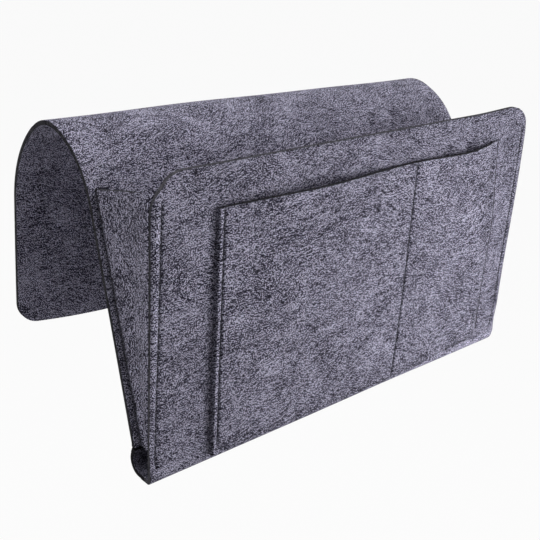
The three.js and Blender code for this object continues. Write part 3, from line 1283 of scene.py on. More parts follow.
@dataclass
class LongSheet:
    """The sheet that is cut in one: front, bottom fold, back and flap.

    Patches on the front go by X and by the height, or by the way down from the top edge. Swells on the back
    and the flap go by X, or by the length from the back's foot.

    Attributes:
        front_corner: Radius of the front's round corners, as for the flap's free end.
        pitch: Spacing of the stops where a sheet is plain.
        bend_pitch: Their spacing in the arch's bends.
        seam_foot: Height of the front seams' first stitch.
        seam_top: Height of their last stitch.
        seam_lead: How far their groove runs on past the stitches.
        back_seam: The back seams' first and last stitch.
        seam_groove: The front seams' groove, with a line of painted shade in it and fainter painted shade
            beside that.
        rear_groove: The back seams' groove in the rear face, as a share of the felt.
        front_phase: Makes the front's unevenness its own.
        front_calm: How the bottom crease keeps the front even, by the height.
        edge_roll: How the front's side edges roll back.
        left_rise: How the painted shade along the left edge grows upwards from low_side to high_side, by the
            way down.
        top_line: The painted shade along the top edge, by the way down.
        shade: The shade at the top right, by the way down.
        margin_fall: How the pale left margin spreads downwards from high_margin to low_margin.
        margin_foot: Where it begins, by the height, as for its head.
        pale: The painted light on the right half of the bottom edge, as from the floor below.
        droop_ends: How far the bottom crease hangs down at its right end and at its left end.
        droop_rest: Where it hangs less.
        droop_up: How the front follows it, by the height.
        flare: How the right edge flares out.
        lift: How it is drawn up.
        tuck: How the bottom's right end is drawn in, which rounds the low corner.
        tilt: The left seam's shift at its foot, and how much that grows for each millimetre up.
        tilted: The felt that goes with it.
        fold_dark: The shade in the bottom fold's open ends.
        sag_start: Where the back begins to hang lower towards the right.
        right_sag: How far the arch hangs down at its right end.
        right_pull: How far that end is drawn in.
        belly: How far the free edge hangs down in its middle.
        belly_reach: How far in from the corners the belly is whole.
        arch_crown: How far the arch stands out, and over what length that grows.
        back_phase: Makes the back's unevenness its own.
        back_calm: How the bottom fold keeps the back even.
        back_slack: How much more uneven the back is than the front.
        ridge_bend: Length of the stretch round the ridge whose end points main works out.
        shoulder_bend: The same at the shoulder.
    """

    profile: Profile = field(default_factory=Profile)
    front_corner: float = 22.0
    drop_corner: float = 14.0
    pitch: float = 5.0
    bend_pitch: float = 2.5
    seam_foot: float = 12.0
    seam_top: float = 169.0
    seam_lead: float = 4.0
    back_seam: tuple[float, float] = (10.0, 147.0)
    seam_groove: Dent = Dent(EDGE_SEAM, 1.15, 0.8)
    # Painted shade in the front seams' grooves, and fainter painted shade beside them.
    seam_line: Dent = Dent(EDGE_SEAM, 0.8, 0.5)
    seam_halo: Dent = Dent(EDGE_SEAM, 2.2, 0.12)
    rear_groove: Dent = Dent(EDGE_SEAM, 1.25, 0.36)
    front_phase: float = 0.3
    front_calm: Swell = Swell(0.0, 25.0)
    edge_roll: Swell = Swell(EDGE_SEAM + 2.0, HALF)
    # Painted shade along the front's side edges, broader and darker up the left edge.
    left_rise: Swell = Swell(180.0, 20.0)
    low_side: Dent = Dent(HALF, 1.0, 0.15)
    high_side: Dent = Dent(HALF, 2.4, 0.45)
    # Painted shade along the front's top edge.
    top_line: Dent = Dent(0.0, 1.0, 0.3)
    shade: Patch = Patch(Swell(20.0, 100.0, 0.14), Swell(60.0, 30.0))
    # The left margin beside the seam is painted paler.
    margin_fall: Swell = Swell(130.0, 0.0)
    high_margin: Dent = Dent(-EDGE_SEAM - 2.2, 1.5, 0.4)
    low_margin: Dent = Dent(-EDGE_SEAM - 3.5, 2.2, 0.4)
    margin_foot: Swell = Swell(4.0, 12.0)
    margin_head: Swell = Swell(165.0, 155.0)
    # Painted light on the right half of the bottom edge, as from the floor below.
    pale: Patch = Patch(Swell(30.0, 65.0, 0.75), Swell(10.0, 6.0))
    droop_ends: tuple[float, float] = (0.7, 2.0)
    droop_rest: Dent = Dent(40.0, 50.0, 0.5)
    droop_up: Swell = Swell(70.0, 0.0)
    flare: tuple[Patch, Patch] = (
        Patch(Swell(90.0, 160.0), Swell(12.0, 30.0, 2.3)),
        Patch(Swell(90.0, 160.0), Swell(40.0, 140.0, 1.7)),
    )
    lift: Patch = Patch(Swell(105.0, 160.0), Swell(60.0, 180.0, 1.6))
    tuck: Patch = Patch(Swell(135.0, HALF, 4.0), Swell(8.0, -1.0))
    tilt: tuple[float, float] = (-2.4, 0.0225)
    tilted: Patch = Patch(Dent(-EDGE_SEAM, 3.0), Swell(0.0, 20.0))
    fold_dark: Swell = Swell(130.0, 155.0, 0.7)
    sag_start: float = 95.0
    right_sag: float = 4.3
    right_pull: Swell = Swell(110.0, HALF, 1.6)
    belly: float = 6.6
    belly_reach: float = 90.0
    arch_crown: tuple[float, float] = (0.7, 40.0)
    back_phase: float = 1.1
    back_calm: Swell = Swell(0.0, 40.0)
    back_slack: float = 1.2
    ridge_bend: float = 60.0
    shoulder_bend: float = 56.0

    def height(self, along: float) -> float:
        """The height of a place along the front's sheet."""
        return along - self.profile.front_foot

    def front_seams(self, x: float, along: float, mark: Dent) -> float:
        """A mark of the front's side seams, at a place of the front."""
        start, end = self.seam_foot - self.seam_lead, self.seam_top + self.seam_lead
        return mark.at(abs(x)) * sewn(self.height(along), start, end)

    def front_face(self, x: float, along: float) -> float:
        """The front's face: flat, and drawn in along both side seams."""
        uneven = slack(x, along, self.front_phase) * self.front_calm.at(self.height(along))
        return uneven - self.front_seams(x, along, self.seam_groove)

    def front_relief(self, x: float, along: float) -> float:
        """The front's face, rolled back at its side edges."""
        roll = self.edge_roll.at(abs(x)) * self.front_calm.at(self.height(along))
        return self.front_face(x, along) - roll

    def front_thickness(self, across: float, along: float) -> float:
        """The inner face lies flat on the gussets where the outer one is drawn in."""
        return 1.0 + min(0.0, self.front_face(across, along)) / FELT

    def front_pinch(self, x: float, along: float) -> float:
        """Paints shade into the front's seams, side edges, top edge and top right, and paints light where it
        is paler.

        Args:
            x: Place across the front.
            along: Place along the front's sheet.

        Returns:
            How much shade is painted in, or light below 0.
        """
        down = self.profile.front().length - along
        seam = self.front_seams(x, along, self.seam_line) + self.front_seams(x, along, self.seam_halo)
        high = self.left_rise.at(down) if x < 0.0 else 0.0
        side = self.low_side.towards(self.high_side, high).at(abs(x))
        dark = max(seam, side, self.top_line.at(down)) + self.shade.at(x, down)
        return dark - self.brushed(x, self.height(along))

    def brushed(self, x: float, z: float) -> float:
        """Paints the left margin paler, and paints light on the right half of the bottom edge as from the
        floor below.

        Args:
            x: Place across the front.
            z: Height.

        Returns:
            How much lighter it is painted.
        """
        margin = self.high_margin.towards(self.low_margin, self.margin_fall.at(z)).at(x)
        margin *= self.margin_foot.at(z) * self.margin_head.at(z)
        return margin + self.pale.at(x, z)

    def droop(self, x: float) -> float:
        """How far the bottom crease hangs below the cut."""
        right, left = self.droop_ends
        return right + (left - right) * (0.5 - x / WIDTH) - self.droop_rest.at(x)

    def front_drift(self, x: float, along: float) -> Vector:
        """Hangs the front's bottom left a little lower, and flares its right edge up and out.

        Args:
            x: Place across the front.
            along: Place along the front's sheet.

        Returns:
            How far the place moves.
        """
        z = self.height(along)
        foot, slope = self.tilt
        flare = sum(patch.at(x, z) for patch in self.flare)
        aside = flare - self.tuck.at(x, z) + (foot + slope * z) * self.tilted.at(x, z)
        return Vector((aside, 0.0, self.lift.at(x, z) - self.droop(x) * self.droop_up.at(z)))

    def base_drift(self, x: float, along: float) -> Vector:
        """The bottom follows the front's crease."""
        near = grown(along, self.profile.base().length, 0.0)
        return Vector((-self.tuck.across.at(x) * near, 0.0, -self.droop(x) * near))

    def arch_drift(self, x: float, along: float) -> Vector:
        """Hangs the arch a little lower towards its right end, and lets the flap's free edge belly down.

        Args:
            x: Place across the sheet.
            along: Place along the back's line.

        Returns:
            How far the place moves.
        """
        profile = self.profile
        high = grown(along, self.sag_start, profile.ridge_start)
        sag = self.right_sag * high * (x / WIDTH + 0.5)
        fall = grown(along, profile.shoulder_end, profile.shoulder_end + profile.drop_length)
        inset = min(1.0, (HALF - abs(x)) / self.belly_reach)
        belly = self.belly * fall * (1.0 - (1.0 - inset) ** 2)
        return Vector((-self.right_pull.at(x) * high, 0.0, -sag - belly))

    def back_thickness(self, across: float, along: float) -> float:
        """The rear face is drawn in along both side seams."""
        return 1.0 - sewn(along, *self.back_seam) * self.rear_groove.at(abs(across))

    def back_relief(self, x: float, along: float) -> float:
        """Shapes the back's and the flap's face.

        Args:
            x: Place across the sheet.
            along: Place along the back's line.

        Returns:
            How far the face stands out.
        """
        crown, length = self.arch_crown
        arch = crown * grown(along, self.profile.back_length, self.profile.back_length + length)
        return slack(x, along, self.back_phase) * self.back_calm.at(along) * self.back_slack + arch

    def front_panel(self) -> Band:
        """Cuts the front panel with its bottom crease.

        Returns:
            The front's sheet.
        """
        profile = self.profile
        path, hem = profile.front(), profile.front_foot + 18.0
        lip_cell, crease_cell, hem_cell = 1.6, 0.6, 1.5
        rows = spaced(
            0.0,
            (profile.front_run, lip_cell),
            (profile.crease_end, crease_cell),
            (hem, hem_cell),
            (path.length - self.front_corner, self.pitch),
        )
        return Band(
            "front_sheet",
            ("front_panel",),
            edge_columns(self.pitch),
            chain(rows, corner_rows(path.length, self.front_corner)),
            Hold.HUNG,
            ("left_gusset", "right_gusset", "bottom_fold"),
            edge=Edge.WOOLLY,
            thin=self.front_thickness,
            butts=(0.0,),
            path=path,
            corner=self.front_corner,
            relief=self.front_relief,
            drift=self.front_drift,
            pinched=self.front_pinch,
        )

    def bottom_fold(self) -> Band:
        """Cuts the narrow bottom, open at both ends.

        Returns:
            The bottom's sheet.
        """
        path = self.profile.base()
        across_cell, along_cell = 6.0, 1.0
        return Band(
            "bottom_sheet",
            ("bottom_fold",),
            [-x for x in edge_columns(across_cell)],
            steps(0.0, path.length, along_cell),
            Hold.FOLDED,
            ("front_panel", "back_panel"),
            butts=(0.0, path.length),
            path=path,
            origin=-path.length,
            relief=lambda x, along: 0.0,
            drift=self.base_drift,
            pinched=lambda x, along: self.fold_dark.at(abs(x)),
        )

    def back_panel(self) -> Band:
        """Cuts the back panel, as far as past the ridge.

        Returns:
            The back's sheet.
        """
        profile = self.profile
        foot, foot_cell = 16.0, 2.0
        plain, arch = (profile.back_length, self.pitch), (profile.split, self.bend_pitch)
        return Band(
            "back_sheet",
            ("back_panel",),
            edge_columns(self.pitch),
            spaced(0.0, (foot, foot_cell), plain, arch),
            Hold.DRAPED,
            ("bottom_fold", "flap_saddle"),
            thin=self.back_thickness,
            butts=(0.0, profile.split),
            path=profile.back(),
            relief=self.back_relief,
            drift=self.arch_drift,
        )

    def flap(self) -> Band:
        """Cuts the shoulder and the free end of the flap.

        Returns:
            The flap's sheet.
        """
        profile = self.profile
        path = profile.back()
        straight = path.length - self.drop_corner
        rows = spaced(profile.split, (profile.shoulder_end, self.bend_pitch), (straight, self.pitch))
        return Band(
            "flap_sheet",
            ("flap_saddle", "flap_drop"),
            edge_columns(self.pitch),
            chain(rows, corner_rows(path.length, self.drop_corner)),
            Hold.DRAPED,
            ("back_panel",),
            butts=(profile.split,),
            path=path,
            corner=self.drop_corner,
            relief=self.back_relief,
            drift=self.arch_drift,
        )


@dataclass
class Gusset(FeltPiece):
    """A tapered side wall with a flange turned inwards at the front and at the back.

    Attributes:
        side: The end that it closes.
        profile: The long sheet's line.
        corner: Radius of the front panel's round corners.
        inset: How far the web stands in from the side edge at the front.
        slant: How much further it stands in at the back.
        fall: How steeply its cut falls towards the back.
        allowance: The flanges' depth.
        bend: Outer radius of the folds.
        bow: How far the web is sucked in between its folds.
        pleats: Its two soft pleats, by the distance from the front flange.
        ripple: Height and length of its waves.
        lean_back: By the same distance, how the front panel's round corner draws it in.
        back_crease: From the back fold, how much shade is painted in.
        front_crease: The line of painted shade round the front fold, by the stops across.
        spread: How much further apart its fibres lie.
        pattern_shift: Where its cut lies on the felt's pattern.
    """

    side: Side = Side.LEFT
    profile: Profile = field(default_factory=Profile)
    corner: float = LongSheet.front_corner
    inset: float = 1.0
    slant: float = 1.2
    fall: float = 0.2235
    allowance: float = 9.0
    bend: float = 3.7
    bow: float = 1.2
    pleats: tuple[Dent, Dent] = (Dent(9.0, 2.2, 0.35), Dent(14.5, 2.5, 0.25))
    ripple: tuple[float, float] = (0.4, 17.0)
    lean_back: Swell = Swell(25.0, 0.0)
    # Painted shade in the creases along the gusset's folds.
    back_crease: Swell = Swell(-2.3, 0.2)
    front_crease: Dent = Dent(1.2, 0.35, 0.15)
    spread: float = 0.7
    pattern_shift: float = 400.0

    @classmethod
    def on(cls, side: Side) -> Gusset:
        """Makes the gusset of one end. The right one is cut a little lower.

        Args:
            side: The end.

        Returns:
            The gusset.
        """
        foot, top, pitch = 20.0, {Side.LEFT: 175.0, Side.RIGHT: 171.0}[side], 4.0
        flange, fold, web = 0.34, 0.125, 0.04
        cells = (flange, fold, web, fold, flange)
        columns = spaced(0.0, *((part + 1.0, cell) for part, cell in enumerate(cells)))
        return cls(
            f"{side.label}_gusset_sheet",
            (f"{side.label}_gusset",),
            columns[::-1] if side is Side.LEFT else columns,
            steps(foot, top, pitch),
            Hold.FOLDED,
            ("front_panel", "back_panel"),
            side=side,
        )

    def ends(self, along: float) -> tuple[float, float]:
        """Finds the flanges at a height.

        Args:
            along: Height at the front.

        Returns:
            The Y of the front flange and of the back flange.
        """
        steep = self.fall * math.tan(math.radians(self.profile.lean))
        front = FELT + GAP
        return front, (self.profile.back_face(along, GAP) + steep * front) / (1.0 + steep)

    def lengths(self, along: float) -> list[float]:
        """Measures the felt round the section.

        Args:
            along: Height at the front.

        Returns:
            The lengths of flange, fold, web, fold and flange.
        """
        front, back = self.ends(along)
        flange, fold = self.allowance - self.bend, self.bend * math.pi / 2.0
        return [flange, fold, back - front - 2.0 * self.bend, fold, flange]

    @staticmethod
    def part(across: float) -> tuple[int, float]:
        """The stretch that a stop lies in, and how far it has come in there."""
        part = min(4, int(across))
        return part, across - part

    def section(self, across: float, front: float, back: float) -> tuple[float, float]:
        """Walks round the gusset's outer face at one height.

        Args:
            across: Whole numbers part the flange, fold, web, fold and flange.
            front: The front flange's face.
            back: The back flange's face.

        Returns:
            The distance in from the side edge, and Y.
        """
        part, share = self.part(across)
        bend, deep = self.bend, self.allowance
        turn = share * math.pi / 2.0
        if part == 0:
            return self.inset + deep - share * (deep - bend), front
        if part == 1:
            return self.inset + bend * (1.0 - math.sin(turn)), front + bend * (1.0 - math.cos(turn))
        if part == 2:
            y = front + bend + share * (back - front - 2.0 * bend)
            pleat = sum(pleat.at(y - front) for pleat in self.pleats)
            return self.inset + self.slant * share + self.bow * math.sin(math.pi * share) ** 2 + pleat, y
        rear = self.inset + self.slant
        if part == 3:
            return rear + bend * (1.0 - math.cos(turn)), back - bend + bend * math.sin(turn)
        return rear + bend + share * (deep - bend), back

    def place(self, across: float, along: float) -> Vector:
        """Finds a point of the gusset's outer face.

        Args:
            across: Stop round the section.
            along: Height at the front.

        Returns:
            The point in the maker's frame.
        """
        front, back = self.ends(along)
        inset, y = self.section(across, front, back)
        high, length = self.ripple
        web = math.sin(math.pi * reached(across, 2.0, 3.0))
        inset += high * math.sin(along / length + self.side.value) * web
        inset += self._lean(along) * self.lean_back.at(y - front)
        return Vector((self.side.value * (HALF - inset), y, along - self.fall * (y - front)))

    def _lean(self, z: float) -> float:
        """How far the front panel's round corner draws the gusset's top in."""
        rise = max(0.0, z - (self.profile.front_height - self.corner))
        return max(0.0, self.corner - math.sqrt(self.corner**2 - rise**2) - self.inset)

    def drawn(self, across: float, along: float) -> float:
        """Painted shade in the creases along both folds, darkest where the back one meets the back panel."""
        back = self.back_crease.at((across - 3.0) * self.lengths(along)[2])
        return min(1.0, back + self.front_crease.at(across))

    def pattern(self, across: float, along: float) -> tuple[float, float]:
        """Lays the gusset's cut on the felt, with its fibres upwards.

        Args:
            across: Stop round the section.
            along: Height at the front.

        Returns:
            The place on the felt.
        """
        lengths = self.lengths(along)
        part, share = self.part(across)
        around = sum(lengths[:part]) + share * lengths[part]
        return along, self.pattern_shift * self.side.value + self.spread * around

    def flat(self) -> tuple[float, float]:
        """The widest part of the cut and its length."""
        return sum(self.lengths(self.rows[-1])), self.rows[-1] - self.rows[0]

    def area(self) -> float:
        """The area of the tapered cut."""
        mean = (sum(self.lengths(self.rows[0])) + sum(self.lengths(self.rows[-1]))) / 2.0
        return mean * (self.rows[-1] - self.rows[0])


@dataclass
class FrontPocket(FeltPiece):
    """The pocket on the front: a bulged face with a divider seam, a standing left side and a flat right side.

    Stops across go from 0 to 1 on the left side, to 2 on the face and to 3 on the right side. Swells, dents
    and patches go by X or by the distance from a fold, and by the height or by the distance from the foot.

    Attributes:
        left: X of the left fold, as for the right one and the divider.
        foot: Height of the bottom edge.
        top: Height of the mouth.
        hem: How far the bottom seam lies above the foot.
        depth: How much deeper the left side stands than flat felt.
        left_bulge: How far the left half bulges at its mouth, as for the right half.
        right_lean: Moves the right half's bulge towards the right.
        fold: Outer radius of the side folds.
        pressed: What is left of the felt's thickness at the side folds.
        thinnest: The least that the face stands off the front panel.
        left_inset: How far the left edge seam lies in from its fold, as for the right one.
        left_press: Where the left fold is pressed, by the distance from it, as for the right one.
        closing: From X to X, where the felt closes to a point at the mouth's right corner.
        closing_up: The same, from the mouth.
        closing_share: How much of the felt's thickness that takes.
        groove: Depth of the seams' grooves.
        left_groove: The left seam's groove, from the fold and from the foot.
        divider_groove: How broad the divider's groove is, as for the right seam and the bottom seam.
        seam_start: Where the divider and the right seam begin, from the foot.
        hem_depth: How the bottom seam's groove deepens in the middle and at the right.
        seam_dark: How much shade is painted into the grooves.
        valley_groove: The valley beside the right seam, from the fold and by the share of the height.
        valley_dark: How much shade is painted into it for each millimetre of depth.
        phase: Makes the pocket's unevenness its own.
        calm_up: How the foot keeps the face even, by the share of the height.
        calm_side: How far in from the folds they keep it even.
        side_dark: How much shade is painted on the standing left side, by the stops across.
        foot_pale: The painted light on the part of the foot near the bottom crease.
        rib_pale: The painted highlight on the rib along the left fold, from the fold.
        bow_top: How far the right seam bows out at the mouth.
        bow_middle: How much further it does below that, and bow_low how much less at its low end.
        bow_corner: How far the low corner is drawn in, from the foot.
        bow_across: The felt that goes with the bow.
        left_fall: How far the mouth's left corner is drawn down.
        corner_lift: How far the mouth's right corner is drawn up.
        corner_across: From X to X, the felt that goes with it.
        corner_start: The height from which it does.
        foot_lift: How far the foot is drawn up towards the right.
        sway: How far the divider's foot stands off to the left, with the felt around it.
        grain: How much coarser the felt's grain is than on the front.
        pattern_corner: Where the cut lies on the felt's pattern.
    """

    left: float = -122.8
    right: float = 132.0
    divider: float = 44.0
    foot: float = 4.3
    top: float = 163.0
    hem: float = 2.2
    depth: float = 0.9
    left_bulge: float = 5.0
    right_bulge: float = 4.0
    right_lean: float = 1.25
    fold: float = 1.3
    pressed: float = 0.4
    thinnest: float = 0.2
    left_inset: float = 3.8
    right_inset: float = 1.8
    left_press: Swell = Swell(6.5, 1.5)
    right_press: Swell = Swell(-9.0, -1.5)
    closing: tuple[float, float] = (98.0, 129.0)
    closing_up: Swell = Swell(-14.0, -2.0)
    closing_share: float = 0.7
    groove: float = 0.75
    left_groove: Patch = Patch(Dent(left_inset, 0.9), Swell(5.0, 10.0))
    divider_groove: float = 1.0
    right_groove: float = 1.4
    seam_start: Swell = Swell(1.0, 3.0)
    hem_groove: float = 0.9
    hem_depth: tuple[Swell, Swell] = (Swell(-60.0, 0.0, 0.1), Swell(90.0, 120.0, 0.85))
    # Painted shade in the pocket's seam grooves.
    seam_dark: float = 0.85
    valley_groove: Patch = Patch(Dent(-10.0, 2.6, 1.2), Swell(0.125, 0.75))
    # Painted shade in the valley beside the right seam.
    valley_dark: float = 0.25
    phase: float = 2.2
    calm_up: Swell = Swell(0.0, 0.25)
    calm_side: float = 18.0
    # Painted shade on the pocket's standing left side.
    side_dark: Swell = Swell(1.0, 0.75, 0.6)
    # Painted light on the pocket's foot near the bottom crease.
    foot_pale: Patch = Patch(Swell(40.0, 80.0, 0.5), Swell(1.8, 0.6))
    # Painted highlight on the rib along the left fold.
    rib_pale: Dent = Dent(1.9, 1.3, 0.3)
    bow_top: float = 4.3
    bow_middle: Swell = Swell(160.0, 100.0, 5.6)
    bow_low: Swell = Swell(95.0, 50.0, 1.4)
    bow_corner: Swell = Swell(8.0, 0.0, 9.0)
    bow_across: Swell = Swell(92.0, 130.0)
    left_fall: float = 1.2
    corner_lift: float = 2.9
    corner_across: tuple[float, float] = (100.0, 130.0)
    corner_start: float = 110.0
    foot_lift: Patch = Patch(Swell(40.0, 125.0, 4.0), Swell(40.0, 0.0))
    sway: float = 4.2
    sway_up: float = 100.0
    sway_reach: float = 25.0
    grain: float = 0.87
    pattern_corner: tuple[float, float] = (37.0, 611.0)

    @classmethod
    def make(cls) -> FrontPocket:
        """Lays out the pocket's stops: left side, face and right side.

        Returns:
            The pocket.
        """
        left, right, divider, foot, top = cls.left, cls.right, cls.divider, cls.foot, cls.top
        low, high = left + cls.fold, right - cls.fold
        side_cell, fold_cell, seam_cell, valley_cell, mouth_cell = 0.1, 0.35, 0.6, 1.3, 1.6
        hem_cell, edge_cell, narrow_cell, plain_cell, wide_cell = 1.5, 2.5, 4.0, 4.5, 5.0
        face = spaced(
            low,
            (left + 6.5, fold_cell),
            (left + 17.0, edge_cell),
            (divider - 6.0, wide_cell),
            (divider + 6.0, seam_cell),
            (right - 22.0, narrow_cell),
            (right - 6.0, valley_cell),
            (high, fold_cell),
        )
        shares = [1.0 + (x - low) / (high - low) for x in face]
        pocket = cls(
            "pocket_sheet",
            ("front_pocket",),
            chain(steps(0.0, 1.0, side_cell), shares, steps(2.0, 3.0, side_cell)),
            spaced(
                foot,
                (foot + 6.0, seam_cell),
                (foot + 18.0, hem_cell),
                (top - 10.0, plain_cell),
                (top, mouth_cell),
            ),
            Hold.FOLDED,
            ("front_panel",),
            edge=Edge.DEEP,
        )
        pocket.thin = pocket.thickness
        return pocket

    def across_face(self, across: float) -> float:
        """The place across the face for a stop, which is the face's edge on the sides."""
        low, high = self.left + self.fold, self.right - self.fold
        return low + reached(across, 1.0, 2.0) * (high - low)

    def right_felt(self, x: float, z: float) -> float:
        """The share of the felt's thickness towards the right fold, which closes to a point at the mouth."""
        closed = self.closing_share * reached(x, *self.closing) * self.closing_up.at(z - self.top)
        return (1.0 - (1.0 - self.pressed) * self.right_press.at(x - self.right)) * (1.0 - closed)

    def thickness(self, across: float, along: float) -> float:
        """Presses both side folds.

        Args:
            across: Stop across the pocket.
            along: Height.

        Returns:
            The share of the felt's thickness that is left.
        """
        x = self.across_face(across)
        left = 1.0 - (1.0 - self.pressed) * self.left_press.at(x - self.left)
        return min(left, self.right_felt(x, along))

    def rise(self, z: float) -> float:
        """How far up the pocket a height is, from 0 to 1."""
        return (z - self.foot) / (self.top - self.foot)

    def stand(self, x: float, z: float) -> float:
        """How far the face's outer side stands off the front panel.

        Args:
            x: Place across the face.
            z: Height.

        Returns:
            The distance in millimetres.
        """
        share = (x - self.divider) / ((self.left if x < self.divider else self.right) - self.divider)
        if x < self.divider:
            side, bulge = self.depth * share, self.left_bulge * math.sin(math.pi * share) ** 2
        else:
            side, bulge = 0.0, self.right_bulge * math.sin(math.pi * min(1.0, share) ** self.right_lean)
        felt = FELT * self.right_felt(x, z)
        return GAP + max(self.thinnest, felt + side + bulge * self.rise(z) + self.relief(x, z))

    def relief(self, x: float, z: float) -> float:
        """The seams' grooves, the valley beside the right one and the felt's unevenness.

        Args:
            x: Place across the face.
            z: Height.

        Returns:
            How far the face stands out.
        """
        calm = self.calm_up.at(self.rise(z)) * grown(x, self.left, self.left + self.calm_side)
        calm *= grown(x, self.right, self.right - self.calm_side)
        return slack(x, z, self.phase) * calm - self.groove * self.seams(x, z) - self.valley(x, z)

    def valley(self, x: float, z: float) -> float:
        """The depth of the soft valley beside the right seam."""
        return self.valley_groove.at(x - self.right, self.rise(z))

    def seams(self, x: float, z: float) -> float:
        """Draws the face in along its seams.

        Args:
            x: Place across the face.
            z: Height.

        Returns:
            How far it is drawn in, from 0 to 1.
        """
        up = z - self.foot
        left = self.left_groove.at(x - self.left, up)
        others = dent(x - self.divider, self.divider_groove)
        others += dent(x - self.right + self.right_inset, self.right_groove)
        hem = dent(up - self.hem, self.hem_groove) * sum(deeper.at(x) for deeper in self.hem_depth)
        return min(1.0, left + others * self.seam_start.at(up) + hem)

    def drawn(self, across: float, along: float) -> float:
        """Painted shade on the left side, in the seams and in the valley, and painted light on the foot and
        on the rib.

        Args:
            across: Stop across the pocket.
            along: Height.

        Returns:
            How much shade is painted in, or light below 0.
        """
        if across < 1.0:
            return self.side_dark.at(across)
        if across > 2.0:
            return 0.0
        x = self.across_face(across)
        pale = self.foot_pale.at(x, along - self.foot) + self.rib_pale.at(x - self.left)
        return max(self.seam_dark * self.seams(x, along), self.valley_dark * self.valley(x, along)) - pale

    def bow(self, z: float) -> float:
        """How far the right seam bows out, with its ends drawn in at the mouth and round the low corner."""
        middle = self.bow_top + self.bow_middle.at(z) - self.bow_low.at(z)
        return middle - self.bow_corner.at(z - self.foot)

    def lift(self, x: float, z: float) -> float:
        """Draws up the mouth's right corner, and the foot towards the right.

        Args:
            x: Place across the face.
            z: Height.

        Returns:
            How far the place is drawn up.
        """
        left = self.left_fall * max(0.0, x / self.left) * self.rise(z)
        right = self.corner_lift * reached(x, *self.corner_across) * grown(z, self.corner_start, self.top)
        return right - left + self.foot_lift.at(x, z - self.foot)

    def face(self, x: float, z: float) -> Vector:
        """Finds where a place of the face's cut lies.

        Args:
            x: Place across the face.
            z: Height.

        Returns:
            The point in the maker's frame.
        """
        low = reached(z - self.foot, self.sway_up, 0.0)
        sway = self.sway * low**2 * dent(x - self.divider, self.sway_reach)
        aside = self.bow(z) * self.bow_across.at(x) - sway
        return Vector((x + aside, -self.stand(x, z), z + self.lift(x, z)))

    def wrap(self, across: float, along: float) -> tuple[float, float, float]:
        """Walks from the face's edge round the fold and along a side to the front panel.

        Args:
            across: Stop on a side.
            along: Height.

        Returns:
            The way outwards, the way in from the face, and the felt's length up to there.
        """
        depth = self.stand(self.across_face(across), along) - GAP
        turn = math.acos(max(0.0, 1.0 - depth / self.fold))
        bend, wall = self.fold * turn, max(0.0, depth - self.fold)
        walked = (abs(across - 1.5) - 0.5) * (bend + wall)
        if walked > bend:
            return self.fold, self.fold + walked - bend, walked
        angle = walked / self.fold
        return self.fold * math.sin(angle), self.fold * (1.0 - math.cos(angle)), walked

    def place(self, across: float, along: float) -> Vector:
        """Finds a point of the pocket's outer face.

        Args:
            across: Stop across the pocket.
            along: Height.

        Returns:
            The point in the maker's frame.
        """
        point = self.face(self.across_face(across), along)
        if 1.0 <= across <= 2.0:
            return point
        out, inward, _ = self.wrap(across, along)
        return point + Vector((math.copysign(out, across - 1.5), inward, 0.0))

    def pattern(self, across: float, along: float) -> tuple[float, float]:
        """Lays the pocket's cut on the felt.

        Args:
            across: Stop across the pocket.
            along: Height.

        Returns:
            The place on the felt.
        """
        around = self.across_face(across)
        if not 1.0 <= across <= 2.0:
            around += math.copysign(self.wrap(across, along)[2], across - 1.5)
        first, second = self.pattern_corner
        return self.grain * around + first, self.grain * along + second

    def flat(self) -> tuple[float, float]:
        """The cut's width with both sides, and its height."""
        return self.right - self.left + self.depth + 2.0 * FELT, self.top - self.foot


# Stitching


def run_of(start: float, stop: float, pitch: float) -> list[float]:
    """The middles of the stitches along a seam."""
    count = max(1, round(abs(stop - start) / pitch))
    return [start + (stop - start) * (k + 0.5) / count for k in range(count)]


